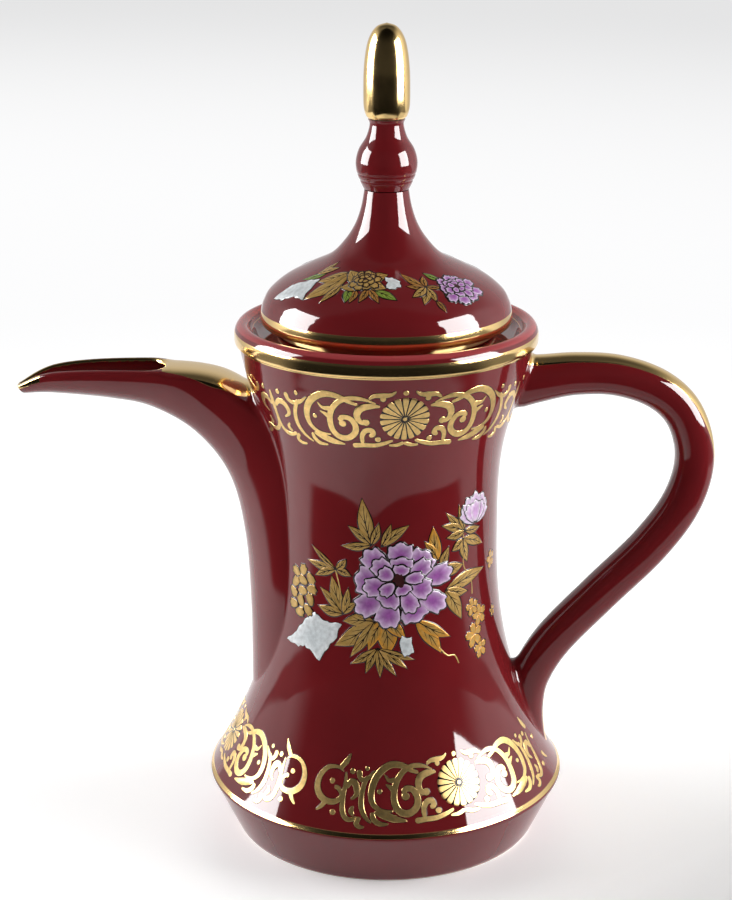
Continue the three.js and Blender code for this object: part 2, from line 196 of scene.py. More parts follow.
def heading(turn):
    """The flat unit vector at an angle, or at each of many."""
    return np.stack([np.cos(turn), np.sin(turn)], axis=-1)


def to_the_left(vectors):
    """Flat vectors turned a quarter turn to the left."""
    return np.stack([-vectors[..., 1], vectors[..., 0]], axis=-1)


def unit(vectors):
    """Vectors scaled to a length of one."""
    return vectors / np.maximum(np.linalg.norm(vectors, axis=-1, keepdims=True), 1e-12)


def travelled(line):
    """Length along a line up to each of its points."""
    return np.concatenate([[0], np.cumsum(np.linalg.norm(np.diff(line, axis=0), axis=1))])


def arc(centre, across, up, start, end, steps, power=1.0):
    """Points round a centre: powers of cosine and sine, times across and up, degrees from start to end."""
    turn = np.radians(np.linspace(start, end, steps))
    return centre + signed_power(heading(turn), power) * (across, up)


def spline(points, share):
    """Uniform Catmull-Rom curve: cubic spans, sloped by half the neighbours' distance."""
    p = np.asarray(points, float)
    place = np.clip(share, 0, 1) * (len(p) - 1)
    span = np.minimum(place.astype(int), len(p) - 2)
    w = (place - span)[..., None]
    before, start = p[np.maximum(span - 1, 0)], p[span]
    end, after = p[span + 1], p[np.minimum(span + 2, len(p) - 1)]
    slope_in, slope_out = (end - before) / 2, (after - start) / 2
    cubic = (2 * start - 2 * end + slope_in + slope_out) * w**3
    square = (3 * end - 3 * start - 2 * slope_in - slope_out) * w**2
    return cubic + square + slope_in * w + start


def smoothstep(value, low, high):
    """Zero below low, one above high, and a smooth S between."""
    t = np.clip((value - low) / (high - low), 0, 1)
    return t * t * (3 - 2 * t)


def turned(outline, steps):
    """A profile carried round the axis: radius times cosine and sine of the turn, height as it is."""
    turn = full_turn(steps) + FRONT
    radius, height = outline[:, 0:1], outline[:, 1:2]
    x = AXIS_X + radius * np.cos(turn)
    return np.stack([x, radius * np.sin(turn), np.broadcast_to(height, x.shape)], axis=-1)


def fan(ring):
    """A ring and its middle, as the two rows of a grid that closes it."""
    return np.stack([ring, np.broadcast_to(ring.mean(axis=0), ring.shape)])


def grid_faces(rows, columns, first, wrap):
    """Index quads of a grid of points, whose last column is joined to the first where asked."""
    here = np.arange(rows - 1)[:, None] * columns
    left = np.arange(columns if wrap else columns - 1)
    right = (left + 1) % columns
    corners = [here + left, here + right, here + columns + right, here + columns + left]
    return np.stack(corners, axis=-1).reshape(-1, 4) + first


class Surface:
    """Collects grids of points and their point values, and makes them one closed mesh object."""

    value_name = "gilt"
    value_size = 1

    def __init__(self, name):
        self.name = name
        self.points = []
        self.faces = []
        self.values = []
        self.count = 0

    def add(self, grid, value, wrap=False):
        """Adds a grid of points, rows by columns, with a value for each point."""
        rows, columns = grid.shape[:2]
        self.faces.append(grid_faces(rows, columns, self.count, wrap))
        self.points.append(grid.reshape(-1, 3))
        shape = (rows, columns) if self.value_size == 1 else (rows, columns, self.value_size)
        self.values.append(np.broadcast_to(value, shape).reshape(-1))
        self.count += rows * columns

    def object(self, material, slot, body, replaces=(), sharp=40):
        """Joins equal points, turns the faces outward, shades smooth and rides on a body."""
        mesh = bpy.data.meshes.new(self.name)
        mesh.from_pydata(np.vstack(self.points), [], np.vstack(self.faces).tolist())
        kind, field = ("FLOAT", "value") if self.value_size == 1 else ("FLOAT_COLOR", "color")
        layer = mesh.attributes.new(self.value_name, kind, "POINT")
        layer.data.foreach_set(field, np.concatenate(self.values).astype(np.float32))
        joined = bmesh.new()
        joined.from_mesh(mesh)
        bmesh.ops.remove_doubles(joined, verts=joined.verts, dist=SAME_PLACE)
        bmesh.ops.dissolve_degenerate(joined, edges=joined.edges, dist=SAME_PLACE / 10)
        bmesh.ops.recalc_face_normals(joined, faces=joined.faces)
        joined.to_mesh(mesh)
        joined.free()
        mesh.shade_smooth()
        mesh.set_sharp_from_angle(angle=math.radians(sharp))
        mesh.materials.append(material)
        piece = bpy.data.objects.new(self.name, mesh)
        bpy.context.scene.collection.objects.link(piece)
        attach(piece, body)
        if replaces:
            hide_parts(*replaces)


def neck_height():
    """Height of the crease under the collar."""
    return body_high[2] - bpy.context.scene.pot_body.collar_rise


def ledge_height():
    """Height of the ledge that carries the lid."""
    return body_high[2] - bpy.context.scene.pot_body.ledge_depth


# The neck runs on straight from this share of its height, at this slope, and a little into the collar
NECK_STRAIGHT = 0.92
NECK_SLOPE = 1.4
NECK_END = 1.03


def body_radius(height):
    """Outside radius: the waist plus a power of the way down, or a squared sine of the way up."""
    s = bpy.context.scene.pot_body
    top = neck_height()
    down = np.clip((s.waist_height - height) / (s.waist_height - s.hip_height), 0, 1)
    up = np.clip((height - s.waist_height) / (top - s.waist_height), 0, NECK_END)
    curved = np.minimum(up, NECK_STRAIGHT)
    flank = (s.hip_radius - s.waist_radius) * down**s.flank_power
    neck = np.sin(math.pi / 2 * curved**s.neck_power) ** 2 + NECK_SLOPE * (up - curved)
    return s.waist_radius + flank + (s.neck_radius - s.waist_radius) * neck


def body_slope(height):
    """Change of the outside radius with height."""
    step = 1e-4
    return (body_radius(height + step) - body_radius(height - step)) / (2 * step)


def foot_outline():
    """Underside, standing ring and the cone up to the rounded hip."""
    s = bpy.context.scene.pot_body
    ring_inside = s.foot_radius - s.foot_ring_width
    edge, hollow = 0.0006, 0.002
    hip_start = (s.hip_radius - s.hip_rounding * 0.4, s.hip_height - s.hip_rounding)
    hip_centre = (s.hip_radius - s.hip_rounding, s.hip_height)
    return np.vstack(
        [
            np.linspace((0, s.foot_ring_height), (ring_inside - hollow, s.foot_ring_height), 12),
            arc((ring_inside - hollow, edge), hollow, s.foot_ring_height - edge, 90, 0, 6)[1:-1],
            arc((ring_inside + edge, edge), edge, edge, 180, 270, 4),
            arc((s.foot_radius - edge, edge), edge, edge, 270, 350, 5),
            np.linspace((s.foot_radius + edge, 2 * edge), hip_start, 14),
            arc(hip_centre, s.hip_rounding, s.hip_rounding, -14, 30, 6),
        ]
    )


def collar_outline():
    """The collar's upright side and round crest, the sunk dish and the ledge, down to the mouth."""
    s = bpy.context.scene.pot_body
    half = s.rim_width / 2
    ledge = ledge_height()
    lip = 0.0005
    centre = (s.neck_radius + s.collar_bulge - half, neck_height() + s.collar_rise / 2)
    inner = centre[0] - half
    dish = spline(
        [
            (inner + half * 0.13, centre[1] + s.collar_rise / 4),
            (inner - s.ledge_depth * 0.12, ledge + s.ledge_depth * 0.4),
            (inner - s.ledge_depth * 0.5, ledge + s.ledge_depth * 0.07),
            (inner - s.ledge_depth, ledge),
            (s.mouth_radius + lip, ledge),
        ],
        np.linspace(0, 1, 14),
    )
    side = arc(centre, half, s.collar_rise / 2 - 0.0008, -66, 0, 16, power=0.34)
    crest = arc(centre, half, s.collar_rise / 2, 0, 150, 22)
    mouth = arc((s.mouth_radius + lip, ledge - lip), lip, lip, 90, 180, 5)
    return np.vstack([side, crest[1:], dish[1:], mouth[1:]])


def inside_outline():
    """The inside wall, a body wall inward from the outside, and the floor."""
    s = bpy.context.scene.pot_body
    ledge = ledge_height()
    height = np.linspace(ledge - 0.015, s.hip_height + 0.004, 60)
    wall = np.column_stack([body_radius(height) - s.wall, height])
    floor_top = s.foot_ring_height + s.floor_thickness
    last = wall[-1]
    bottom = spline(
        [wall[-2], last, (last[0] - 0.001, floor_top + 0.007), (s.foot_radius - s.wall - 0.002, floor_top)],
        np.linspace(1 / 3, 1, 12),
    )
    mouth = [(s.mouth_radius, ledge - 0.005)]
    floor = np.linspace(bottom[-1], (0, floor_top), 10)
    return np.vstack([mouth, wall, bottom[1:], floor[1:]])


# Gold on the body: the line over the hip, and the collar's side, measured up from its crease
HIP_LINE_RISE = 0.0012
HIP_LINE_HALF = 0.00062
COLLAR_GOLD_START = 0.0003
COLLAR_GOLD_END = 0.0054
# How far the thin glaze, lightened as a painted highlight on the crest, reaches down from the crest and how
# soon it is full, and the bare part of the foot
CREST_DEPTH = 0.0022
CREST_FADE = 0.0014
BARE_HEIGHT = 0.0009
BARE_WIDTH = 0.008
# Point values that stand for another finish; the others are millimetres inside the gilding
THIN_GLAZE_AND_SHEEN = -100
BARE_CLAY = -200


def body_gilding(outline):
    """Millimetres inside the gilded bands, or the value of bare clay, or of thin glaze lightened as a
    painted highlight on the crest.
    """
    s = bpy.context.scene.pot_body
    radius, height = outline[:, 0], outline[:, 1]
    crease, crest_start = neck_height(), body_high[2] - CREST_DEPTH
    hip_line = HIP_LINE_HALF - np.abs(height - (s.hip_height + HIP_LINE_RISE))
    collar = np.minimum(height - crease - COLLAR_GOLD_START, crease + COLLAR_GOLD_END - height)
    outside = radius > s.neck_radius - 0.004
    gilt = np.where(outside, np.maximum(hip_line, collar) / MM, -1)
    # Lighter glaze over the crest: partly thinner glaze, partly a painted highlight
    crest = THIN_GLAZE_AND_SHEEN * smoothstep(height, crest_start, crest_start + CREST_FADE)
    gilt = np.where(height > crest_start, crest - 1, gilt)
    return np.where((height < BARE_HEIGHT) & (radius > s.foot_radius - BARE_WIDTH), BARE_CLAY, gilt)


class POT_OT_body(bpy.types.Operator):
    """Makes the turned body with its foot, hip, waist, collar, ledge and inside"""

    bl_idname = "pot.body"
    bl_label = "Body"

    def execute(self, context):
        s = context.scene.pot_body
        height = np.linspace(s.hip_height + 0.0009, neck_height() + 0.0007, 150)
        flank = np.column_stack([body_radius(height), height])
        outline = np.vstack([foot_outline(), flank, collar_outline(), inside_outline()])
        shell = Surface("body_shell")
        shell.add(turned(outline, 256), body_gilding(outline)[:, None], wrap=True)
        shell.object(glaze_material(), "glaze", "pot", ["body"])
        return {"FINISHED"}


class Nodes:
    """The nodes of a material or a world: each call adds one, feeds it and gives its result."""

    def __init__(self, owner):
        owner.use_nodes = True
        self.nodes, self.links = owner.node_tree.nodes, owner.node_tree.links

    def feed(self, node, inputs):
        """Links sockets into a node's inputs, and writes plain values there."""
        for name, value in inputs.items():
            if isinstance(value, bpy.types.NodeSocket):
                self.links.new(value, node.inputs[name])
            else:
                node.inputs[name].default_value = value

    def add(self, kind, result, inputs, **settings):
        """A node of a kind with its settings and inputs; gives the named result."""
        node = self.nodes.new("ShaderNode" + kind)
        for name, value in settings.items():
            setattr(node, name, value)
        self.feed(node, inputs)
        return node.outputs[result]

    def place(self, kind="Object"):
        """Where a point is, in the object's own coordinates unless another kind is named."""
        return self.add("TexCoord", kind, {})

    def axes(self, vector):
        """The three parts of a vector."""
        return tuple(self.add("SeparateXYZ", "X", {"Vector": vector}).node.outputs)

    def ray(self, kind):
        """One for rays of a kind, such as Is Camera Ray, else zero."""
        return self.add("LightPath", kind, {})

    def noise(self, scale, detail):
        """Noise over the object."""
        return self.add("TexNoise", "Fac", {"Vector": self.place(), "Scale": scale, "Detail": detail})

    def bump(self, height, strength, distance):
        """The surface's direction where a height stands out."""
        return self.add("Bump", "Normal", {"Height": height, "Strength": strength, "Distance": distance})

    def maths(self, operation, *values):
        """A sum of one to three values."""
        return self.add("Math", "Value", dict(enumerate(values)), operation=operation)

    def vector(self, operation, result, *values):
        """A sum with vectors; gives its Vector or its Value."""
        return self.add("VectorMath", result, dict(enumerate(values)), operation=operation)

    def mapped(self, value, low, high, first=0.0, last=1.0, kind="SMOOTHSTEP"):
        """A value's place between low and high, as a number between first and last."""
        inputs = {"Value": value, "From Min": low, "From Max": high, "To Min": first, "To Max": last}
        return self.add("MapRange", "Result", inputs, interpolation_type=kind)

    def mixed(self, share, first, last):
        """A colour between two others."""
        return self.add("Mix", "Result", {"Factor": share, "A": first, "B": last}, data_type="RGBA")

    def faded(self, share, first, last):
        """One shader that fades into another."""
        return self.add("MixShader", "Shader", {"Fac": share, 1: first, 2: last})


def made_material(name, nodes):
    """The material of a name, whose nodes a function lays the first time."""
    if name not in bpy.data.materials:
        nodes(Nodes(bpy.data.materials.new(name)))
    return bpy.data.materials[name]


def shaded(colour, factor):
    """A colour times a factor, at most white, with its fourth part."""
    return (*np.minimum(np.multiply(colour, factor), 1), 1)


def glaze_nodes(tree):
    """Maroon glaze with a faint wave, and gold, bare clay, or thin glaze lightened as a painted highlight,
    where the point value says so.
    """
    finish = bpy.context.scene.pot_finish
    gilt = tree.add("Attribute", "Fac", {}, attribute_name="gilt")
    colour = tree.mixed(tree.noise(60, 3), shaded(finish.glaze, 0.86), shaded(finish.glaze, 1.14))
    # The crest's lighter tint: partly thin glaze, partly a painted highlight
    thin_and_sheen, clay = shaded(finish.glaze, (2.4, 4.6, 4.0)), shaded(finish.clay, 1)
    colour = tree.mixed(tree.mapped(gilt, 0.6 * THIN_GLAZE_AND_SHEEN, THIN_GLAZE_AND_SHEEN), colour, thin_and_sheen)
    colour = tree.mixed(tree.mapped(gilt, 0.75 * BARE_CLAY, 0.9 * BARE_CLAY), colour, clay)
    gold = tree.mapped(gilt, -0.06, 0.06)
    surface = {
        "Base Color": tree.mixed(gold, colour, shaded(finish.gold, 1)),
        "Metallic": gold,
        "Roughness": tree.mapped(gold, 0, 1, 0.045, 0.14, kind="LINEAR"),
        "Normal": tree.bump(tree.noise(90, 1), 0.25, 0.0002),
        "IOR": 1.5,
    }
    tree.feed(tree.nodes["Principled BSDF"], surface)


def gold_nodes(tree):
    """Burnished gold with faint streaks."""
    gold = bpy.context.scene.pot_finish.gold
    streak = tree.noise(220, 4)
    surface = {
        "Base Color": tree.mixed(streak, shaded(gold, 0.88), shaded(gold, 1.12)),
        "Metallic": 1.0,
        "Roughness": tree.mapped(streak, 0, 1, 0.08, 0.2, kind="LINEAR"),
    }
    tree.feed(tree.nodes["Principled BSDF"], surface)


def paint_nodes(tree):
    """Raised paint and bright gold: the point value gives the colour and how metallic it is."""
    paint = tree.add("Attribute", "Color", {}, attribute_name="paint")
    metallic = paint.node.outputs["Alpha"]
    fleck = tree.noise(700, 3)
    shade = tree.mapped(fleck, 0.3, 0.7, 0.78, 1.1, kind="LINEAR")
    surface = {
        "Base Color": tree.add("VectorMath", "Vector", {0: paint, "Scale": shade}, operation="SCALE"),
        "Metallic": metallic,
        "Roughness": tree.mapped(metallic, 0, 1, 0.2, 0.3, kind="LINEAR"),
        "Normal": tree.bump(fleck, 0.3, 0.00005),
    }
    tree.feed(tree.nodes["Principled BSDF"], surface)


def glaze_material():
    """Glaze and flat gilding of the turned and cast shells."""
    return made_material("maroon_glaze", glaze_nodes)


def gold_material():
    """Gold of the tip, which is gilded all over."""
    return made_material("burnished_gold", gold_nodes)


def paint_material():
    """Enamel, ink and raised gold of the ornament."""
    return made_material("raised_paint", paint_nodes)


def spout_lines():
    """Keel and top line in the middle plane, as distance out from the axis and height."""
    s = bpy.context.scene.pot_spout
    waist = bpy.context.scene.pot_body.waist_radius
    run = waist + s.stand
    inside = waist - 0.013
    crest = neck_height() - s.crest_drop
    tip = neck_height() - s.tip_drop
    keel = [
        (run, s.foot_height),
        (run, crest - 0.085),
        (run + 0.0016, crest - 0.058),
        (run + 0.0064, crest - 0.038),
        (run + 0.017, crest - 0.0236),
        (run + 0.031, crest - 0.015),
        (s.reach - 0.031, crest - 0.0119),
        (s.reach - 0.012, crest - 0.0102),
        (s.reach - 0.0024, tip - 0.0012),
    ]
    top = [
        (inside, s.foot_height),
        (inside, crest - 0.082),
        (inside + 0.001, crest - 0.044),
        (inside + 0.006, crest - 0.021),
        (inside + 0.022, crest - 0.007),
        (s.reach - 0.061, crest - 0.0016),
        (s.reach - 0.036, crest - 0.0005),
        (s.reach - 0.0125, crest - 0.002),
        (s.reach - TIP_ROUND, tip + 0.002),
    ]
    return keel, top


def spout_half_width(out):
    """Half width: a beak that closes as a power of the way out, on a root that fades exponentially."""
    s = bpy.context.scene.pot_spout
    run = bpy.context.scene.pot_body.waist_radius + s.stand
    along = np.clip((out - run) / (s.reach - run), 0, 1)
    beak = s.beak_width / 2 * (1 - along**5) ** 0.65
    return beak + (s.root_width - s.beak_width) / 2 * np.exp(-along / 0.17)


def trough_share(out):
    """How far the spout has opened from a pipe (0) into a trough (1) at a distance out from the axis."""
    s = bpy.context.scene.pot_spout
    start = s.reach - s.trough_length
    return smoothstep(out, start - 0.002, start + 0.006)


# The trough's rim: how far its inside lies lower, its rounding, and the round start of the opening
RIM_DROP = 0.0009
RIM_ROUND = 0.001
TROUGH_ROUND = 0.007
# Powers of the spout's section: under its widest level, above it, and how much squarer the trough is
KEEL_POWER = 1.85
TOP_POWER = 2.4
TROUGH_POWER = 2.6


def spout_points(place, turn, inset):
    """Superellipses between keel and top line: blunt-pointed below, square on the trough."""
    keel, top = spout_lines()
    low, high = spline(keel, place), spline(top, place)
    span = np.linalg.norm(high - low, axis=-1, keepdims=True)
    direction = (high - low) / span
    span = span[..., 0]
    opened = trough_share(high[..., 0])
    half = np.maximum(spout_half_width(low[..., 0]) - inset, 1e-5)
    widest = 0.8 * span
    end = span - inset * (1 - opened) - np.where(inset > 0, RIM_DROP, 0) * opened
    end = np.maximum(end, widest + 1e-5)
    cosine, sine = np.cos(turn), np.sin(turn)
    power = np.where(cosine > 0, KEEL_POWER, TOP_POWER + TROUGH_POWER * opened)
    reach = (np.abs(cosine) ** power + np.abs(sine) ** power) ** (-1 / power)
    below = widest - (widest - inset) * reach * np.abs(cosine)
    above = widest + (end - widest) * reach * np.abs(cosine)
    middle = low + direction * np.where(cosine > 0, below, above)[..., None]
    return np.stack([AXIS_X - middle[..., 0], half * reach * sine, middle[..., 1]], axis=-1)


def outside_by(points):
    """Distance outside the body's surface, measured level."""
    return np.hypot(points[..., 0] - AXIS_X, points[..., 1]) - body_radius(points[..., 2])


def crossing(values, places):
    """Place along the last axis where the values first change sign, by straight interpolation."""
    change = np.diff(np.sign(values), axis=-1) != 0
    first = np.argmax(change, axis=-1)
    rows = np.arange(len(values))
    a, b = values[rows, first], values[rows, first + 1]
    return places[first] + (places[first + 1] - places[first]) * a / (a - b)


def crowded(start, end, count):
    """Places from start to end that crowd together at both ends, as a cosine does."""
    turn = np.linspace(0, math.pi, count).reshape(-1, *[1] * np.ndim(start))
    return start + (end - start) * (1 - np.cos(turn)) / 2


def body_normals(points):
    """Outward normals of the body's surface at points near it."""
    radial = unit(points[..., :2] - [AXIS_X, 0])
    return unit(np.concatenate([radial, -body_slope(points[..., 2])[..., None]], axis=-1))


def grid_normals(grid, outward_hint):
    """Cross product of the grid's two directions, turned to the side of the hint."""
    normal = unit(np.cross(np.gradient(grid, axis=0), np.gradient(grid, axis=1)))
    side = np.sign((normal * outward_hint).sum(-1, keepdims=True))
    return normal * np.where(side == 0, 1, side)


def filleted(grid, normal, radius):
    """Pushes points near the body along it by a circle that touches both, as a wiped joint does."""
    body_normal = body_normals(grid)
    lean = np.clip((normal * body_normal).sum(-1), -0.6, 0.999)
    away = np.maximum(outside_by(grid), 0) * np.linalg.norm(body_normal[..., :2], axis=-1)
    width = radius * np.sqrt((1 - lean) / (1 + lean))
    height = np.maximum(width * np.sqrt(1 - lean**2), 1e-6)
    near = np.clip(1 - away / height, 0, 1)
    push = width * (1 - np.sqrt(1 - near**2))
    along = normal - lean[..., None] * body_normal
    along = along / np.maximum(np.linalg.norm(along, axis=-1, keepdims=True), 1e-9)
    return grid + push[..., None] * along


def seated(points):
    """Moves points level onto the body's surface, a hair below it."""
    out = points.copy()
    radius = body_radius(points[..., 2])[..., None] - 5e-5
    out[..., :2] = [AXIS_X, 0] + unit(points[..., :2] - [AXIS_X, 0]) * radius
    return out


def spout_opening(place):
    """Half width of the trough's opening: round where it starts, and closing with the beak at the tip."""
    s = bpy.context.scene.pot_spout
    keel, top = spout_lines()
    out = spline(top, place)[..., 0]
    start = np.clip((out - (s.reach - s.trough_length)) / TROUGH_ROUND, 0, 1)
    inner = np.maximum(spout_half_width(spline(keel, place)[..., 0]) - s.wall, 0)
    return np.sqrt(1 - (1 - start) ** 2) * inner * 0.97


def angle_at(place, side, inset):
    """Section angle, from the keel, at which the upper half reaches a distance from the middle plane."""
    keel, top = spout_lines()
    half = np.maximum(spout_half_width(spline(keel, place)[..., 0]) - inset, 1e-5)
    power = TOP_POWER + TROUGH_POWER * trough_share(spline(top, place)[..., 0])
    share = np.clip(side / half, 0, 1)
    return math.pi - np.arctan2(share, (1 - share**power) ** (1 / power))


def spout_shell(inset):
    """Places along the spout, and how far round its section goes: to body, top or rim."""
    s = bpy.context.scene.pot_spout
    keel, top = spout_lines()
    many = np.linspace(0, 1, 2000)
    low = spout_points(many, np.zeros(2000), inset)
    high = spout_points(many, np.full(2000, math.pi), inset)
    foot = crossing(outside_by(low)[None], many)[0]
    crown = crossing(outside_by(high)[None], many)[0]
    trough = np.interp(s.reach - s.trough_length, spline(top, many)[..., 0], many)
    width = spout_half_width(spline(keel, many)[..., 0])
    end = many[width > s.wall + 1e-4][-1]
    root = crowded(foot, crown, 64)
    turns = np.linspace(0, math.pi, 361)
    sections = spout_points(root[:, None], np.broadcast_to(turns, (64, 361)), inset)
    root_edge = crossing(outside_by(sections)[1:-1], turns)
    bridge = crowded(crown, trough, 40)[1:]
    beak = crowded(trough, end, 90)[1:]
    rim = RIM_ROUND * np.clip(spout_opening(beak) / 0.002, 0, 1) if inset == 0 else 0
    beak_edge = angle_at(beak, spout_opening(beak) + rim, inset)
    beak_edge[-1] = math.pi
    place = np.concatenate([root, bridge, beak])
    edge = np.concatenate([[0], root_edge, [math.pi], np.full(len(bridge), math.pi), beak_edge])
    return place, edge, len(root), len(root) + len(bridge) - 1


# The spout's gilding in millimetres: the saddle's half width and how much it narrows, how far from the axis
# it is full, how far it runs past the trough's start, and the length and depth of the gold on the tip
SADDLE_HALF = 11.4
SADDLE_TAPER = 3.4
SADDLE_START = 48
SADDLE_OVERLAP = 1.5
TIP_GOLD_LENGTH = 8.5
TIP_GOLD_DEPTH = 2.2
# Only the upper part of the section is gilded, from this turn up
UPPER_TURN = 1.4


class POT_OT_spout(bpy.types.Operator):
    """Makes the spout with its keel, beak, gilded bridge, trough and the channel inside"""

    bl_idname = "pot.spout"
    bl_label = "Spout"

    def execute(self, context):
        s = context.scene.pot_spout
        column = np.linspace(-1, 1, 97)
        column = np.sign(column) * (1 - (1 - np.abs(column)) ** 1.6)
        shells = []
        for inset in (0.0, s.wall):
            place, edge, root, trough = spout_shell(inset)
            turn = edge[:, None] * column
            grid = spout_points(np.broadcast_to(place[:, None], turn.shape), turn, inset)
            shells.append((grid, turn, place[-1], root, trough))
        (outer, turn, last, root, trough), (inner, _, _, inner_root, inner_trough) = shells
        keel, beside = len(column) // 2, 18
        hint = outer - (outer[:, keel] * (1, 0, 1))[:, None]
        hint[:, keel] = outer[:, keel] - (outer[:, keel - beside] + outer[:, keel + beside]) / 2
        normal = grid_normals(outer, hint)
        normal[:2] = normal[2]
        filled = filleted(outer, normal, s.fillet)
        for side in (0, -1):
            filled[:root, side] = seated(filled[:root, side])
            inner[:inner_root, side] = seated(inner[:inner_root, side])
        filled[0] = seated(filled[0].mean(axis=0))
        filled[trough:] = outer[trough:]
        bridge = filled[root - 1 : trough]
        bridge[:, 0] = bridge[:, -1] = (bridge[:, 0] + bridge[:, -1]) / 2
        tip = self.tip_rows(last, column)
        outside = np.concatenate([filled, tip])
        turn = np.concatenate([turn, np.broadcast_to(math.pi * column, tip.shape[:2])])
        shell = Surface("spout_shell")
        shell.add(outside, self.outer_gilding(outside, turn))
        shell.add(inner, -1.0)
        for side in (0, -1):
            shell.add(self.rim(filled[trough:, side], inner[inner_trough:, side]), 0.3)
            shell.add(np.stack([filled[:root, side], inner[:root, side]]), -1.0)
        shell.add(fan(inner[-1]), -1.0)
        shell.object(glaze_material(), "glaze", "pot", ["spout"], sharp=50)
        return {"FINISHED"}

    @staticmethod
    def rim(outer, inner):
        """Rounds the trough's rim by a quarter ellipse, level at the outside and upright at the inside."""
        turn = np.linspace(0, math.pi / 2, 6)[:, None, None]
        side = inner + (outer - inner) * (1 - np.sin(turn))
        rise = inner + (outer - inner) * np.cos(turn)
        return np.concatenate([side[..., :2], rise[..., 2:]], axis=-1)

    @staticmethod
    def tip_rows(last, column):
        """Closed sections past the trough's end, and a last round cap that shrinks to a point."""
        places = np.linspace(last, 1, 5)[1:]
        turn = np.broadcast_to(math.pi * column, (4, len(column)))
        rows = spout_points(np.broadcast_to(places[:, None], turn.shape), turn, 0.0)
        centre = rows[-1].mean(axis=0)
        angle = np.linspace(0, math.pi / 2, 5)[1:, None, None]
        cap = centre + (rows[-1] - centre) * np.cos(angle) - np.sin(angle) * (TIP_ROUND, 0, 0)
        return np.concatenate([rows, cap])

    @staticmethod
    def outer_gilding(grid, turn):
        """Millimetres inside the gold: a saddle on the closed bridge, and the tip's edge."""
        s = bpy.context.scene.pot_spout
        out, side = (AXIS_X - grid[..., 0]) / MM, np.abs(grid[..., 1]) / MM
        start = (s.reach - s.trough_length) / MM
        width = SADDLE_HALF - SADDLE_TAPER * smoothstep(out, start - 17, start + 3)
        width = np.minimum(width, SADDLE_HALF - (SADDLE_START - out) / 2)
        saddle = np.minimum(width - side, start + SADDLE_OVERLAP - out)
        edge = (grid[:, :1, 2] - grid[..., 2]) / MM
        tip = np.minimum(out - (s.reach / MM - TIP_GOLD_LENGTH), TIP_GOLD_DEPTH - edge)
        return np.where(np.abs(turn) > UPPER_TURN, np.maximum(saddle, tip), -1)


def handle_centre(share):
    """Centre line of the handle by its length, and its direction: a spline from reach, top and foot."""
    s = bpy.context.scene.pot_handle
    top = neck_height() - s.top_drop
    foot = s.foot_height
    reach = s.reach - s.depth / 2
    middle = (top + foot) / 2
    points = [
        (reach - 0.068, top - 0.0034),
        (reach - 0.053, top - 0.0015),
        (reach - 0.04, top + 0.0002),
        (reach - 0.026, top - 0.0004),
        (reach - 0.0126, top - 0.0052),
        (reach - 0.0038, top - 0.014),
        (reach, top - 0.028),
        (reach - 0.0034, middle + 0.0247),
        (reach - 0.0135, middle + 0.0092),
        (reach - 0.0297, middle - 0.008),
        (reach - 0.0448, middle - 0.0247),
        (reach - 0.0522, foot + 0.0305),
        (reach - 0.0542, foot + 0.02),
        (reach - 0.0536, foot + 0.009),
        (reach - 0.0514, foot),
    ]
    many = np.linspace(0, 1, 1500)
    length_to = travelled(spline(points, many))
    wanted = share * length_to[-1]
    centre, ahead, behind = (
        spline(points, np.interp(wanted + step, length_to, many)) for step in (0, CLOSE_BY, -CLOSE_BY)
    )
    return centre, unit(ahead - behind)


def handle_points(share, turn):
    """Oval sections square to the centre line, thicker at the collar and narrower towards the foot."""
    s = bpy.context.scene.pot_handle
    centre, tangent = handle_centre(share)
    half_depth = s.depth / 2 + s.flare * np.minimum(1, np.exp(-np.maximum(0, share - 0.05) / 0.05))
    half_width = s.width / 2 * (1 - 0.1 * share)
    rise = half_depth * signed_power(np.sin(turn), 0.9)
    x = AXIS_X + centre[..., 0] - tangent[..., 1] * rise
    z = centre[..., 1] + tangent[..., 0] * rise
    return np.stack([x, half_width * signed_power(np.cos(turn), 0.9), z], axis=-1)


# The handle's stripe in millimetres: its half width at the top, how much it narrows, the section's radius
STRIPE_WIDE = 5.6
STRIPE_TAPER = 3.2
HANDLE_ROUND = 7.2


class POT_OT_handle(bpy.types.Operator):
    """Makes the handle with its gilded back and the slip that joins it to neck and flank"""

    bl_idname = "pot.handle"
    bl_label = "Handle"

    def execute(self, context):
        s = context.scene.pot_handle
        turn = full_turn(72)
        many = np.linspace(0, 1, 1200)
        lines = handle_points(np.broadcast_to(many, (72, 1200)), np.broadcast_to(turn[:, None], (72, 1200)))
        away = outside_by(lines)
        share = crowded(crossing(away, many), crossing(away[:, ::-1], many[::-1]), 220)
        turns = np.broadcast_to(turn, share.shape)
        grid = handle_points(share, turns)
        centre = handle_centre(share)[0]
        hint = grid - np.stack([AXIS_X + centre[..., 0], 0 * centre[..., 0], centre[..., 1]], axis=-1)
        around = np.concatenate([grid[:, -1:], grid, grid[:, :1]], axis=1)
        normal = unit(np.cross(np.gradient(grid, axis=0), (around[:, 2:] - around[:, :-2]) / 2))
        normal *= np.sign((normal * hint).sum(-1, keepdims=True))
        grid = filleted(grid, normal, s.fillet)
        grid[0], grid[-1] = seated(grid[0]), seated(grid[-1])
        shell = Surface("handle_shell")
        shell.add(grid, self.gilding(share, turns), wrap=True)
        for row in (grid[0], grid[-1]):
            shell.add(fan(row), -1.0, wrap=True)
        shell.object(glaze_material(), "glaze", "pot", ["handle"], sharp=60)
        return {"FINISHED"}

    @staticmethod
    def gilding(share, turn):
        """Millimetres inside the stripe: wide over the shoulder, then narrowing to a line down the back."""
        stripe = STRIPE_WIDE - STRIPE_TAPER * smoothstep(share, 0.33, 0.43)
        return stripe - HANDLE_ROUND * np.abs(turn - math.pi / 2)


def lid_seat():
    """Height of the lid's edge on the ledge."""
    return lid_low[2] + bpy.context.scene.pot_lid.flange_depth


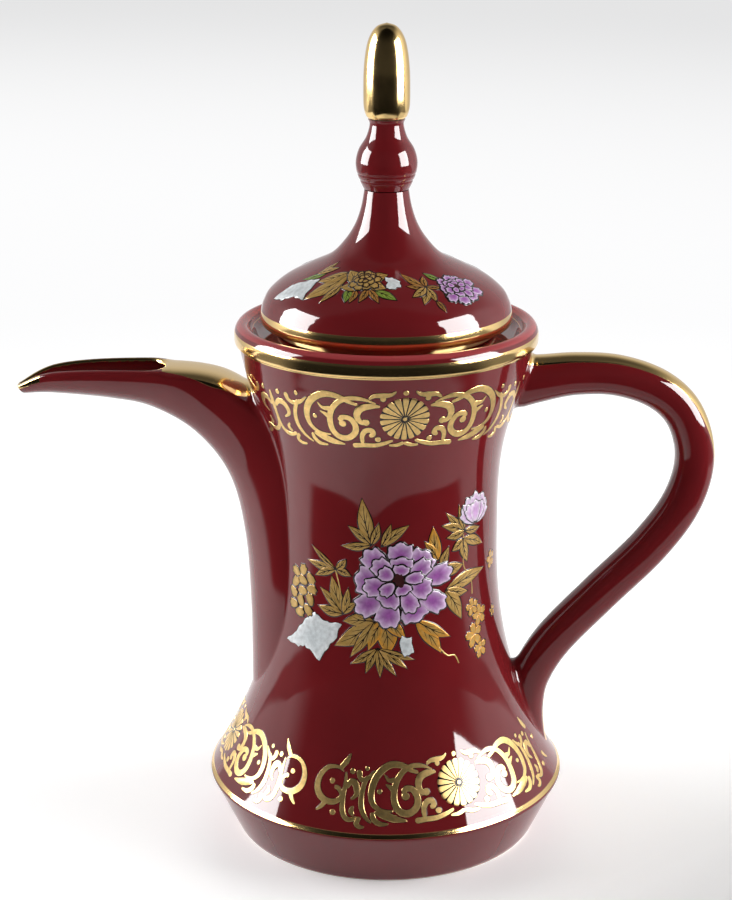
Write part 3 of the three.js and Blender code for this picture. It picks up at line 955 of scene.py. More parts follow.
def dome_outline():
    """The dome's outside from its gilded edge up to the foot of the finial."""
    s = bpy.context.scene.pot_lid
    edge, top = lid_seat() + s.edge_lift, lid_high[2]
    points = [
        (s.edge_radius, edge),
        (s.radius - 0.002, edge + 0.0002),
        (s.radius - 0.0004, edge + 0.0009),
        (s.radius, edge + 0.0022),
        (s.radius, edge + 0.0038),
        (s.radius - 0.0003, edge + 0.0056),
        (s.radius - 0.0011, edge + 0.008),
        (s.radius - 0.003, edge + 0.011),
        (s.radius - 0.0079, edge + 0.015),
        (s.stem_radius + 0.0182, edge + 0.0189),
        (s.stem_radius + 0.0108, top - 0.021),
        (s.stem_radius + 0.006, top - 0.016),
        (s.stem_radius + 0.0029, top - 0.011),
        (s.stem_radius + 0.001, top - 0.0055),
        (s.stem_radius, top),
    ]
    return spline(points, np.linspace(0, 1, 150))


# Height of the gold on the dome's edge, and the ring lines in the bead: height, depth and width
EDGE_GOLD = 0.0052
RING_LINES = ((0.0029, 0.00016), (0.0049, 0.00012))
RING_WIDTH = 0.00035


class POT_OT_lid(bpy.types.Operator):
    """Makes the lid: a hollow dome with a gilded edge and a flange"""

    bl_idname = "pot.lid"
    bl_label = "Lid"

    def execute(self, context):
        s = context.scene.pot_lid
        seat, top = lid_seat(), lid_high[2]
        edge = seat + s.edge_lift
        flange = context.scene.pot_body.mouth_radius - s.side_clearance
        inside = flange - s.flange_wall
        hollow = spline(
            [
                (0, top - 0.02),
                (s.stem_radius - s.wall, top - 0.02),
                (s.stem_radius + 0.007, edge + 0.0184),
                (s.radius - s.wall - 0.01, edge + 0.0134),
                (s.radius - s.wall - 0.004, edge + 0.0086),
                (inside + 0.0016, edge + 0.003),
                (inside, edge),
            ],
            np.linspace(0, 1, 60),
        )
        bottom = seat - s.flange_depth
        rounding, corner = 0.0008, 0.0006
        outline = np.vstack(
            [
                arc((inside + rounding, bottom + rounding), rounding, rounding, 180, 270, 5),
                arc((flange - rounding, bottom + rounding), rounding, rounding, 270, 360, 5),
                np.linspace((flange, bottom + 0.002), (flange, seat), 4),
                [(s.edge_radius - corner, seat)],
                arc((s.edge_radius - corner, seat + corner), corner, corner, 280, 350, 4),
                dome_outline(),
                [(0, top)],
            ]
        )
        gilt = np.where(outline[:, 0] > flange + 0.0005, (edge + EDGE_GOLD - outline[:, 1]) / MM, -1)
        shell = Surface("lid_shell")
        shell.add(turned(outline, 200), gilt[:, None], wrap=True)
        shell.add(turned(np.vstack([hollow, outline[:1]]), 200), -1.0, wrap=True)
        shell.object(glaze_material(), "glaze", "lid", ["lid"])
        return {"FINISHED"}


class POT_OT_finial(bpy.types.Operator):
    """Makes the maroon bead and the gilded tip on top of the lid"""

    bl_idname = "pot.finial"
    bl_label = "Finial"

    def execute(self, context):
        s = context.scene.pot_lid
        low, high = finial_low[2], finial_high[2]
        bead = [
            (s.stem_radius + 0.0001, low),
            (s.stem_radius + 0.0012, low + 0.0022),
            (s.bead_radius - 0.0003, low + 0.0054),
            (s.bead_radius, low + 0.0088),
            (s.bead_radius - 0.001, low + 0.0126),
            (s.finial_neck_radius + 0.0011, low + 0.0164),
            (s.finial_neck_radius, high - 0.0018),
            (s.finial_neck_radius + 0.0005, high),
        ]
        side = spline(bead, np.linspace(0, 1, 110))
        for height, depth in RING_LINES:
            side[:, 0] -= depth * np.exp(-(((side[:, 1] - low - height) / RING_WIDTH) ** 2))
        outline = np.vstack([[(0, low)], side, [(0, high)]])
        shell = Surface("finial_bead")
        shell.add(turned(outline, 96), -1.0, wrap=True)
        shell.object(glaze_material(), "glaze", "lid", ["finial"])
        low, high = tip_low[2], tip_high[2]
        tip = [
            (s.tip_radius - 0.0009, low + 0.0007),
            (s.tip_radius - 0.0002, low + 0.003),
            (s.tip_radius, low + 0.007),
            (s.tip_radius - 0.00015, high - 0.0145),
            (s.tip_radius - 0.0009, high - 0.008),
            (s.tip_radius - 0.0022, high - 0.0038),
            (s.tip_radius - 0.0044, high - 0.001),
            (0, high),
        ]
        side = spline(tip, np.linspace(0, 1, 120))
        outline = np.vstack([[(0, low), (s.tip_radius - 0.0016, low)], side])
        shell = Surface("finial_gold_tip")
        shell.add(turned(outline, 96), 1.0, wrap=True)
        shell.object(gold_material(), "gilding", "lid", ["finial_tip"])
        return {"FINISHED"}


INK = (0.014, 0.006, 0.006, 0)
HEART = (0.05, 0.006, 0.008, 0)


class Ground:
    """A turned surface under ornament: across is length round it, up is length along its profile."""

    def __init__(self, profile, height, turn, radius=None):
        self.profile = profile
        self.lengths = travelled(profile)
        self.start = np.interp(height, profile[:, 1], self.lengths)
        self.turn = math.radians(turn)
        self.radius = radius

    def at(self, along):
        """Radius and height of the profile at a length along it."""
        return [np.interp(along, self.lengths, self.profile[:, part]) for part in (0, 1)]

    def laid(self, flat, rise):
        """Flat points on the surface, lifted along its normal."""
        along = self.start + flat[..., 1]
        radius, height = self.at(along)
        ahead, behind = self.at(along + CLOSE_BY), self.at(along - CLOSE_BY)
        out, up = ahead[0] - behind[0], ahead[1] - behind[1]
        size = np.hypot(out, up)
        turn = FRONT + self.turn + flat[..., 0] / (self.radius or radius)
        distance = radius + rise * up / size
        x = AXIS_X + distance * np.cos(turn)
        return np.stack([x, distance * np.sin(turn), height - rise * out / size], axis=-1)


# Where the spout and the handle's two ends cover the body: side of the axis, half width, lowest and highest
# point, and how far out from the axis this starts
COVERED = ((-1, 0.0145, 0.046, 0.1565), (1, 0.0112, 0, 0.046), (1, 0.0112, 0.147, 0.168))
COVERED_FROM = 0.02


def under_spout_or_handle(points):
    """Whether any of the points lies where the spout or the handle joins the body."""
    x, y, z = points[..., 0] - AXIS_X, np.abs(points[..., 1]), points[..., 2]
    for side, half, low, high in COVERED:
        if ((side * x > COVERED_FROM) & (y < half) & (z > low) & (z < high)).any():
            return True
    return False


class Ornament(Surface):
    """Raised gold or paint in thin closed patches, whose edges lie a hair under the surface below them."""

    value_name = "paint"
    value_size = 4
    sunk = -0.02 * MM

    def __init__(self, name, ground):
        super().__init__(name)
        self.ground = ground
        self.flip = 1

    def flat(self, points):
        """Millimetres to metres, mirrored left to right where the pattern is."""
        return np.asarray(points, float) * (self.flip * MM, MM)

    def patch(self, grid, rise, value):
        """Adds a patch unless it would run under the spout or the handle."""
        points = self.ground.laid(grid, rise)
        if not under_spout_or_handle(points):
            self.add(points, value, wrap=True)

    def stroke(self, path, widths, rise, value):
        """A flat strip along a spline, as wide as the given widths say and round at its ends."""
        path = self.flat(path)
        share = crowded(0, 1, 7 * len(path))
        line = spline(path, share)
        across = to_the_left(unit(np.gradient(line, share, axis=0)))
        half = np.interp(share, np.linspace(0, 1, len(widths)), widths) * MM / 2
        way = travelled(line)
        cap = np.clip(np.minimum(way, way[-1] - way) / np.maximum(half, 1e-6), 0, 1)
        half = half * np.sqrt(1 - (1 - cap) ** 2)
        full = np.minimum(1, half / (0.2 * half.max()))[:, None]
        shoulder = 0.97 * rise
        offset = np.array([-1, -0.88, 0, 0.88, 1, 0])
        section = np.array([self.sunk, shoulder, rise, shoulder, self.sunk, 2 * self.sunk - rise / 2])
        grid = line[:, None] + across[:, None] * offset[:, None] * half[:, None, None]
        self.patch(grid, self.sunk + (section - self.sunk) * full, value)

    def lined(self, path, widths, rise, value):
        """A strip with a thin dark line along both sides."""
        self.stroke(path, np.add(widths, 0.4), rise * 0.35, INK)
        self.stroke(path, widths, rise, value)

    def blob(self, outline, rise, inner, outer, fade=2.0):
        """A flat-topped shape: its outline drawn in towards its middle, with the colour fading outwards."""
        outline = self.flat(outline)
        middle = outline.mean(axis=0)
        top_edge = 1 - 0.1 * MM / np.linalg.norm(outline - middle, axis=1).mean()
        share = np.concatenate([[0, 0.5, 1], np.linspace(top_edge, 0, 7)])
        underside = np.array([2, 2, 1]) * self.sunk
        heights = np.concatenate([underside, rise * (1 - 0.04 * share[3:] ** 6)])
        grid = middle + (outline - middle) * share[:, None, None]
        inner, outer = np.array(inner), np.array(outer)
        self.patch(grid, heights[:, None], inner + (outer - inner) * share[:, None, None] ** fade)

    def edged(self, outline, rise, inner, outer, edge=0.22, fade=2.0):
        """A shape on a slightly larger dark one."""
        points = np.asarray(outline, float)
        middle = points.mean(axis=0)
        away = points - middle
        size = np.linalg.norm(away, axis=1, keepdims=True)
        under = (0.007 + 0.001 * size.mean()) * MM
        self.blob(middle + away * (1 + edge / size), rise - under, INK, INK)
        self.blob(points, rise, inner, outer, fade)

    def dot(self, centre, radius, rise, value):
        """A round blob."""
        self.blob(heading(full_turn(20)) * radius + centre, rise, value, value)


def leaf_outline(base, tip, width, bend):
    """A lens: its half width is a sine of the way from base to tip, and its middle is bent by another."""
    along = np.subtract(tip, base)
    way = np.concatenate([np.linspace(0, 1, 13), np.linspace(1, 0, 13)[1:-1]])
    side = np.concatenate([np.ones(13), -np.ones(11)])
    half = width / 2 * np.sin(math.pi * way**0.85)
    sway = bend * width * np.sin(math.pi * way)
    across = to_the_left(along) / np.linalg.norm(along)
    return base + along * way[:, None] + across * (side * half + sway)[:, None]


def petal_outline(base, direction, length, width):
    """A petal: a circle drawn out along a direction, wider towards its outer end, whose edge is ruffled."""
    turn = full_turn(40)
    out = (1 - np.cos(turn)) / 2
    ruffle = 1 + 0.07 * np.cos(8 * turn) * out
    along = length * out * ruffle
    across = width / 2 * signed_power(np.sin(turn), 0.8) * (0.6 + 0.45 * out) * ruffle
    ahead = heading(direction)
    return base + along[:, None] * ahead + across[:, None] * to_the_left(ahead)


def leaf(art, base, tip, width, rise, inner, outer, bend=0.0):
    """A leaf with a dark edge, a midrib and two pairs of veins."""
    art.edged(leaf_outline(base, tip, width, bend), rise, inner, outer, edge=0.44)
    along = np.subtract(tip, base)
    across = to_the_left(along) / np.linalg.norm(along) * width
    vein = rise + VEIN_RISE
    art.stroke([base, base + along / 2 + across * bend, base + along * 0.85], [0.42, 0.34, 0.12], vein, INK)
    for start, end in ((0.25, 0.5), (0.45, 0.72)):
        root = base + along * start + across * bend * math.sin(math.pi * start)
        for side in (-1, 1):
            art.stroke([root, base + along * end + across * (bend + side * 0.3)], [0.28, 0.1], vein, INK)


# How far the paints stand out: leaves, berries, blossoms, flowers, a leaf's veins, and the step to the next
LEAF_RISE = 0.05 * MM
BERRY_RISE = 0.06 * MM
BLOSSOM_RISE = 0.07 * MM
FLOWER_RISE = 0.12 * MM
VEIN_RISE = 0.006 * MM
STEP_RISE = 0.009 * MM
# Paints: red, green, blue and how metallic they are
SCROLL_GOLD = (0.82, 0.56, 0.22, 1)
LEAF_GOLD = ((0.66, 0.42, 0.13, 0.25), (0.5, 0.28, 0.06, 0.25))
LEAF_BROWN = ((0.6, 0.32, 0.07, 0.25), (0.45, 0.16, 0.03, 0.2))
LEAF_AMBER = ((0.58, 0.36, 0.1, 0.25), (0.8, 0.33, 0.02, 0.2))
LEAF_GREEN = ((0.3, 0.42, 0.06, 0), (0.16, 0.24, 0.03, 0))
PURPLE = ((0.36, 0.1, 0.4, 0), (0.84, 0.66, 0.87, 0))
PALE_PURPLE = ((0.7, 0.4, 0.74, 0), (0.93, 0.85, 0.94, 0))
WHITE = ((0.7, 0.75, 0.77, 0), (0.92, 0.95, 0.97, 0))


def ring_of_petals(art, centre, count, start, length, width, shape, turn, rise, paint):
    """Petals side by side round a centre: shape makes the ring an oval, and each petal varies a little."""
    for k in range(count):
        angle = turn + 2 * math.pi * k / count + 0.14 * math.sin(3.1 * k)
        vary = 1 + 0.17 * math.cos(2.3 * k + turn)
        stretched = heading(angle) * shape
        size = length * vary * np.linalg.norm(stretched)
        outline = petal_outline(centre + start * stretched, angle, size, width * (2 - vary))
        art.edged(outline, rise + STEP_RISE * k, *paint, edge=0.55, fade=2.4)


def peony(art, centre, size, rise, paint):
    """An open peony from the side and above: three oval rings of petals round its heart."""
    x, y = centre
    rings = (
        ((x, y - 0.02 * size), 9, 0.42, 0.56, 0.62, (1.06, 0.92), 0.2),
        ((x - 0.02 * size, y + 0.04 * size), 7, 0.22, 0.46, 0.5, (1.05, 0.9), 0.6),
        ((x - 0.05 * size, y + 0.1 * size), 5, 0.12, 0.3, 0.36, (1.1, 0.85), 0.1),
    )
    for level, (middle, count, *sizes, shape, turn) in enumerate(rings):
        lift = rise + level * 0.08 * MM
        ring_of_petals(art, middle, count, *np.multiply(sizes, size), shape, turn, lift, paint)
    heart = petal_outline((x + 0.02 * size, y - 0.06 * size), 1.9, 0.32 * size, 0.24 * size)
    art.blob(heart, rise + 0.25 * MM, HEART, HEART)


def bud(art, base, size, rise, paint):
    """A half open bud: five petals fanned upwards and three shorter ones in front of them."""
    behind = ((-0.85, 0.78), (0.85, 0.78), (-0.45, 0.9), (0.45, 0.9), (0, 0.94))
    back = [(turn, length, 0.66, 0) for turn, length in behind]
    front = [(turn, 0.68, 0.56, 0.075) for turn in (-0.55, 0.55, 0)]
    for petals in (back, front):
        for k, (turn, length, width, lift) in enumerate(petals):
            outline = petal_outline(base, math.pi / 2 + turn, length * size, width * size)
            art.edged(outline, rise + (lift + 0.012 * k) * MM, *paint, edge=0.34, fade=2.4)


def medallion(art, rise):
    """A round flower of eighteen narrow gold petals on a dark disc, with a gold dot in its dark heart."""
    art.dot((0, 0), 7.75, 0.25 * rise, INK)
    count = 18
    turn = full_turn(20)
    radius = 1.2 + 6.6 * (1 - np.cos(turn)) / 2
    half = (radius * math.pi / count - 0.17) * signed_power(np.sin(turn), 0.35)
    for k in range(count):
        ahead = heading(2 * math.pi * (k + 0.5) / count)
        outline = radius[:, None] * ahead + half[:, None] * to_the_left(ahead)
        art.blob(outline, rise, SCROLL_GOLD, SCROLL_GOLD)
    art.dot((0, 0), 0.7, rise, SCROLL_GOLD)


# Half of the scroll pattern in millimetres, from a medallion's middle outwards: paths and widths
SCROLLS = (
    (
        [
            (20.7, -1.2), (19.3, 0.2), (16.9, -0.3), (15.5, -2.9), (16, -5.6), (18.4, -7.5),
            (21.1, -7.4), (23, -5.8), (23.8, -3.2), (23.6, 0.1), (22.4, 3.2), (20, 5.8), (17.1, 7.1),
            (14.2, 7.3), (11.4, 6.7), (8.9, 5.6),
        ],
        [1.3, 1.5, 1.6, 1.7, 1.6, 1.5, 1.3, 1.1, 0.3],
    ),
    (
        [
            (14.4, 5), (17.2, 6), (19.1, 7.1), (21.8, 7.9), (24.8, 7.9), (27.8, 6.5), (30.2, 4.1),
            (31.6, 1.2), (32, -1.8), (31.2, -4.5), (29.2, -6.2), (26.8, -6.8), (24.3, -6.8),
        ],
        [0.8, 1.2, 1.6, 1.8, 1.7, 1.4, 0.9, 0.4],
    ),
    (
        [(34.4, 4.2), (36.2, 0.8), (37, -2.4), (36.8, -5.2), (35.6, -7.6), (33.8, -9.3), (31.6, -10.6)],
        [1, 1.2, 1.3, 1, 0.4],
    ),
    (
        [(46.4, 5), (46.2, 1.2), (46.6, -3.4), (46.2, -7), (44.6, -9.2), (42, -10), (38.5, -9)],
        [0.3, 1.1, 1.2, 1.2, 0.8],
    ),
    ([(22.6, 3.1), (24, 2.9), (25.8, 3.1), (27.2, 4.8)], [1.4, 1.3, 0.9, 0.2]),
    ([(23.6, -0.4), (25.1, 0.8), (26.8, 1.7)], [1.3, 1.1, 0.2]),
    ([(39, 6), (38.5, 3.8), (36.4, 2.8), (33.5, 3.8), (30.8, 6)], [1.7, 1.2, 1.1, 1, 0.2]),
    (
        [(45.6, -0.2), (43.6, 1.8), (41.2, 1.8), (39.8, 0.1), (39.9, -2), (42.3, -3.6)],
        [0.9, 1.6, 1.7, 1.2, 0.4],
    ),
    ([(40.8, -5.6), (41.8, -7.2), (40.4, -8.6)], [0.4, 1.2, 0.8]),
    ([(37.4, -8.9), (38.6, -10.9), (37, -12), (34.7, -12)], [1.1, 1.1, 1, 0.5]),
    ([(30.6, -7), (27.4, -8), (24, -9.2), (19.6, -10)], [0.7, 2, 1.8, 0.3]),
    ([(31.4, -7.2), (30.9, -9.2), (29, -10.7), (26, -10.9)], [0.9, 1.3, 1.2, 0.4]),
    (
        [(7.6, 4.6), (9.4, 4.8), (11.7, 4.5), (13.8, 3.5), (14.8, 1.3), (14.1, -0.9), (12.4, -1.7)],
        [0.5, 1.6, 1.9, 1.5, 1.3],
    ),
    ([(2.9, 9.9), (4.4, 8.8), (6.6, 8.5), (9.1, 8.4), (10.9, 7.2)], [0.3, 1, 1.4, 1.1, 0.5]),
    (
        [(13.6, -9.3), (13.6, -6.4), (12.4, -4.5), (10.6, -4.2), (10, -5.7), (11.3, -6.5)],
        [0.9, 1.3, 1.5, 1.4, 1],
    ),
    ([(17, -10.2), (13.8, -9.9), (9.6, -9.8), (6.3, -9), (3.6, -7.9)], [1.5, 1.3, 1.2, 1.1, 0.6]),
    ([(4.9, -9.7), (2.4, -9.7), (0, -8.8)], [0.5, 1, 1]),
)
SCROLL_DOTS = (
    (19.7, -2.2, 1.25), (12.1, -1.3, 1.2), (29, -0.6, 0.8), (42.7, 5.4, 0.9), (34.6, 6.6, 0.75),
    (6.7, 7.3, 0.9), (8.5, -7.6, 1),
)
# How far out the scrolls are drawn, and where these distances go on the shorter strips of the hip
SCROLL_REACH = (7.8, 32, 48)
CLOSED_REACH = (7.8, 29.4, 39.2)
# The hook that closes each end of a strip on the hip, and what hangs on it
HOOKS = (
    (
        [
            (41.6, -0.4), (40.4, -0.4), (38.9, -2.4), (40.4, -4.7), (43.8, -4.9), (46.4, -3.1),
            (47.5, -0.3), (46.9, 3.1), (44.6, 5.7), (41.2, 6.2), (39, 5),
        ],
        [1.4, 1.3, 1.2, 1.5, 1.9, 2, 1.9, 1.6, 1.3, 1, 0.3],
    ),
    ([(43.8, -5), (44.9, -6.9), (46.4, -8.4)], [1.6, 1.2, 0.5]),
    ([(40.4, 5.8), (38.4, 8.4), (37, 11)], [1.5, 1.7, 0.2]),
)
HOOK_DOTS = ((41, -8.2, 0.9), (42.6, 1.6, 0.9))


def scroll_unit(art, rise, weight, closed):
    """One medallion and the scrolls to both sides; a closed unit is drawn narrower and ends in hooks."""
    medallion(art, rise)
    art.dot((0, 9.3), 0.85, rise, SCROLL_GOLD)

    def away(a):
        return min(a, np.interp(a, SCROLL_REACH, CLOSED_REACH)) if closed else a

    number = 0
    for art.flip in (-1, 1):
        for path, widths in SCROLLS:
            number += 1
            lift = rise + 0.005 * MM * (number % 4)
            art.lined([(away(a), b) for a, b in path], np.multiply(widths, weight), lift, SCROLL_GOLD)
        for a, b, radius in SCROLL_DOTS:
            art.dot((away(a), b), radius + 0.2, 0.35 * rise, INK)
            art.dot((away(a), b), radius, rise + 0.02 * MM, SCROLL_GOLD)
        for path, widths in HOOKS if closed else ():
            art.lined(path, np.multiply(widths, 1.1), rise, SCROLL_GOLD)
        for a, b, radius in HOOK_DOTS if closed else ():
            art.dot((a, b), radius, rise, SCROLL_GOLD)
    art.flip = 1


def body_profile():
    """The body's side from hip to collar, close enough together for ornament to lie on."""
    height = np.linspace(bpy.context.scene.pot_body.hip_height, neck_height(), 1200)
    return np.column_stack([body_radius(height), height])


class POT_OT_scrolls(bpy.types.Operator):
    """Lays the two gold scroll bands, under the collar and above the hip"""

    bl_idname = "pot.scrolls"
    bl_label = "Scroll bands"

    def execute(self, context):
        s = context.scene.pot_ornament
        bands = (
            ("neck_scroll_band", s.neck_band_height, s.neck_band_turn, s.neck_band_radius, (0, 120, 240)),
            ("hip_scroll_band", s.hip_band_height, s.hip_band_turn, s.hip_band_radius, (0, 125.3, 250.6)),
        )
        for name, height, turn, radius, steps in bands:
            art = Ornament(name, None)
            for step in steps:
                art.ground = Ground(body_profile(), height, math.degrees(turn) + step, radius)
                scroll_unit(art, s.scroll_rise, s.scroll_weight, closed=name.startswith("hip"))
            art.object(paint_material(), "gilding", "pot", sharp=30)
        return {"FINISHED"}


# The bouquet's sprays in millimetres from its middle: paint, root, and the tips and widths of the leaves
SPRAYS = (
    (
        LEAF_GOLD,
        (-4.6, 13),
        (((-7.6, 28.6), 4.6), ((-12.2, 19), 2.8), ((-14.4, 12), 2.6), ((-2.2, 20.4), 2.6)),
    ),
    (LEAF_GOLD, (-1.4, 12.6), (((7.4, 19.6), 3.2), ((1.6, 20.2), 2.4))),
    (
        LEAF_GOLD,
        (-16.4, 3.6),
        (
            ((-27.6, 4.8), 2.6), ((-24.4, 0.2), 2.5), ((-11.2, 2), 2.4), ((-12.9, 7.4), 2.4),
            ((-25.6, 10.2), 1.8),
        ),
    ),
    (
        LEAF_GOLD,
        (-14, -11),
        (
            ((-18, 1.4), 4), ((-22.4, -3.4), 3.2), ((-23.2, -9.8), 3.2), ((-12.2, -2), 2.6),
            ((-9.6, -6.6), 2.6),
        ),
    ),
    (
        LEAF_GOLD,
        (27.8, 14.6),
        (((20, 22.2), 2.6), ((18.4, 18), 2.9), ((20.2, 13.6), 2.7), ((35, 14.2), 2.6), ((25, 24), 2.2)),
    ),
    (LEAF_GOLD, (27, 12), (((37, 8), 3.5), ((29, 3.8), 3.5), ((22.4, 8.8), 3))),
    (LEAF_AMBER, (17.4, 6.5), (((15.4, 18.2), 4.2), ((12.4, 13.6), 2.8))),
    (LEAF_GOLD, (18.5, 3), (((21.2, 10.6), 3), ((27.2, 3.4), 4))),
    (LEAF_GOLD, (20, -4), (((38, -0.6), 4.8), ((29.4, -6.2), 3.4), ((26.6, -15), 4.8))),
    (LEAF_AMBER, (9.6, -12.6), (((18.6, -24.6), 4.9), ((22, -19.8), 3.8))),
    (LEAF_GOLD, (-3.6, -12.6), (((-17, -22), 5.6), ((-14, -13.4), 4.2), ((-11.6, -25), 3.4))),
    (LEAF_AMBER, (-1, -12), (((0.6, -24), 6.4), ((-5.6, -22.4), 4), ((6.4, -18.6), 4))),
    (
        LEAF_GOLD,
        (-2.6, -21.6),
        (
            ((-11.4, -27.2), 2.5), ((-6.4, -29.8), 2.6), ((-1.8, -31), 2.4), ((3.4, -30.6), 2.2),
            ((7, -28.4), 2.4), ((9.4, -25.6), 2.2),
        ),
    ),
)
SHARD = [
    (-38, -25), (-33, -21), (-29.4, -16.4), (-24.6, -12.4), (-20.6, -14.6), (-14.6, -14.4),
    (-16.4, -19.6), (-19.4, -23), (-22.8, -28.4), (-25.6, -25.8), (-29, -24.6), (-31.8, -25.6),
]
SMALL_SHARD = [(5, -17.4), (8.4, -18.6), (9, -23.4), (6, -24.4), (4.4, -21)]
BERRIES = (
    (-29.8, 0.4), (-33, -0.8), (-26.4, -1.6), (-29.8, -3), (-33.6, -4.4), (-26, -5.2), (-30, -6.6),
    (-34.6, -8), (-26.6, -8.8), (-30.8, -10.2), (-27.6, -12.4), (-34.4, -12), (-31.4, -14),
)
BERRY_SIZE = (4.2, 3.7)
BUD = ((32.6, 16.6), 10.4)
PEONY = ((4.8, -0.4), 15.6)
BLOSSOMS = (
    (31.6, -12.4, 3), (35.4, -16, 3.6), (32.4, -22, 4), (35.6, -27, 3.2), (44.4, -17.4, 1.9),
    (43.6, 0.4, 3.2),
)
TENDRILS = (
    [(17.7, -22.6), (20.8, -25.8), (23.7, -26.4), (25.4, -29.4)],
    [(25.6, 17), (27.6, 11), (27.4, 3), (31, -3), (31.6, -8)],
    [(-16.6, 3.4), (-15, -3), (-14.2, -10.6)],
    [(30.4, 17), (31.6, 19.4), (32.4, 21)],
)


def torn(outline):
    """An outline with six points to a side, each a little off its place, as torn paper has."""
    corners = np.vstack([outline, outline[:1]])
    place = np.arange(0, len(outline), 1 / 6)
    points = np.column_stack([np.interp(place, np.arange(len(corners)), corners[:, k]) for k in (0, 1)])
    return points + 0.22 * np.column_stack([np.sin(31.7 * place), np.sin(47.3 * place)])


def small_blossom(art, centre, size, rise):
    """Five round gold petals in dark outline."""
    for k in range(5):
        petal = petal_outline(centre, 0.5 + 0.4 * math.pi * k, size, size * 0.8)
        art.edged(petal, rise + STEP_RISE * k, *LEAF_AMBER, edge=0.3)


def bouquet(art):
    """Leaves first and lowest, then shards, berries and blossoms, then bud and peony on top."""
    for path in TENDRILS:
        art.stroke(path, [0.5, 0.45, 0.4], LEAF_RISE, LEAF_GOLD[0])
    for paint, base, leaves in SPRAYS:
        for k, (tip, width) in enumerate(leaves):
            leaf(art, base, tip, width, LEAF_RISE + STEP_RISE * k, *paint, bend=0.12 * (-1) ** k)
    for outline in (SHARD, SMALL_SHARD):
        art.edged(torn(outline), FLOWER_RISE, *WHITE)
    for number, middle in enumerate(BERRIES):
        turn = 1.2 + 2.1 * math.sin(2.4 * number)
        length, width = BERRY_SIZE
        outline = petal_outline(middle - heading(turn) * length / 2, turn, length, width)
        art.edged(outline, BERRY_RISE + STEP_RISE * number, *LEAF_GOLD, edge=0.36)
    for a, b, size in BLOSSOMS:
        small_blossom(art, (a, b), size, BLOSSOM_RISE)
    bud(art, *BUD, FLOWER_RISE, PALE_PURPLE)
    peony(art, *PEONY, FLOWER_RISE, PURPLE)


class POT_OT_bouquets(bpy.types.Operator):
    """Paints a bouquet round a peony on the front of the waist, and the same on its back"""

    bl_idname = "pot.bouquets"
    bl_label = "Bouquets"

    def execute(self, context):
        s = context.scene.pot_ornament
        for name, turn in (("front_bouquet", 0), ("back_bouquet", 180)):
            art = Ornament(name, Ground(body_profile(), s.bouquet_height, turn))
            bouquet(art)
            art.object(paint_material(), "glaze", "pot", sharp=70)
        return {"FINISHED"}


# The lid's garland: places as degrees round the lid and millimetres up its dome
GARLAND_LEAVES = (
    (LEAF_GREEN, (-51, 8.2), (-65, 1.6), 3),
    (LEAF_GREEN, (-24, 2.4), (-22, -4), 2.8),
    (LEAF_GREEN, (-7, 2), (5.6, -2.4), 3.2),
    (LEAF_GREEN, (40, 5.4), (31, 9.8), 2.6),
    (LEAF_GREEN, (38, 0), (34, -4.4), 2.2),
    (LEAF_GOLD, (-17, 6), (-33, 11), 5),
    (LEAF_GOLD, (-16, 5), (-30, 2.4), 4.6),
    (LEAF_GOLD, (-14, 6.4), (1.4, 10), 4.8),
    (LEAF_GOLD, (-14, 5), (0, 3), 4.4),
    (LEAF_GOLD, (-31, 9.6), (-47, -5.4), 6.4),
    (LEAF_GOLD, (-33, 10), (-50, 3), 4.6),
    (LEAF_GOLD, (-58, 7), (-54.4, 13.8), 2.6),
    (LEAF_GOLD, (-60, 6), (-46, 11.4), 3),
    (LEAF_GOLD, (-30, 4), (-36, -5.4), 2.6),
    (LEAF_BROWN, (-19, 2), (-19.6, -4), 2.4),
    (LEAF_BROWN, (-12, 3), (-14.6, -3.6), 2.4),
    (LEAF_BROWN, (-11, 2.8), (-4, -3.6), 2.2),
    (LEAF_BROWN, (25.6, 3), (11.6, 10.4), 3),
    (LEAF_BROWN, (25.6, 3), (13, 4), 2.2),
    (LEAF_BROWN, (25.6, 3), (28.8, 8.2), 2.4),
    (LEAF_GOLD, (25.6, 3), (14.6, -1.4), 2.8),
    (LEAF_GOLD, (25.6, 3), (19.6, -4.8), 2.8),
    (LEAF_GOLD, (25.6, 3), (27, -4.2), 2.4),
    (LEAF_BROWN, (25.6, 3), (37.4, 1), 1.8),
    (LEAF_BROWN, (27, -3.6), (29.6, -8.4), 1.4),
)
GARLAND_SHARDS = (
    [(-70, -9), (-67, -2), (-58, 2.6), (-50.6, 4.4), (-49, -1), (-47.6, -5.6), (-56, -5.4), (-62, -8)],
    [(-1.4, 8.6), (5, 8.4), (9.8, 6.4), (9.4, 4), (4, 2.6), (-0.4, 3.4), (0.6, 6)],
)
GARLAND_FLOWERS = ((LEAF_GOLD, (-15.4, 6.8), 5.4), (PURPLE, (47.6, 0), 7.4))


def garland(art):
    """Leaves, two white shards, a gold flower and a peony seen from its side."""
    scale = (math.radians(art.ground.radius / MM), 1)
    for k, (paint, base, tip, width) in enumerate(GARLAND_LEAVES):
        rise = LEAF_RISE + STEP_RISE * (k % 7)
        leaf(art, np.multiply(base, scale), np.multiply(tip, scale), width, rise, *paint, bend=0.1)
    for shard in GARLAND_SHARDS:
        art.edged(torn(np.multiply(shard, scale)), FLOWER_RISE, *WHITE)
    for paint, middle, size in GARLAND_FLOWERS:
        peony(art, np.multiply(middle, scale), size, FLOWER_RISE, paint)


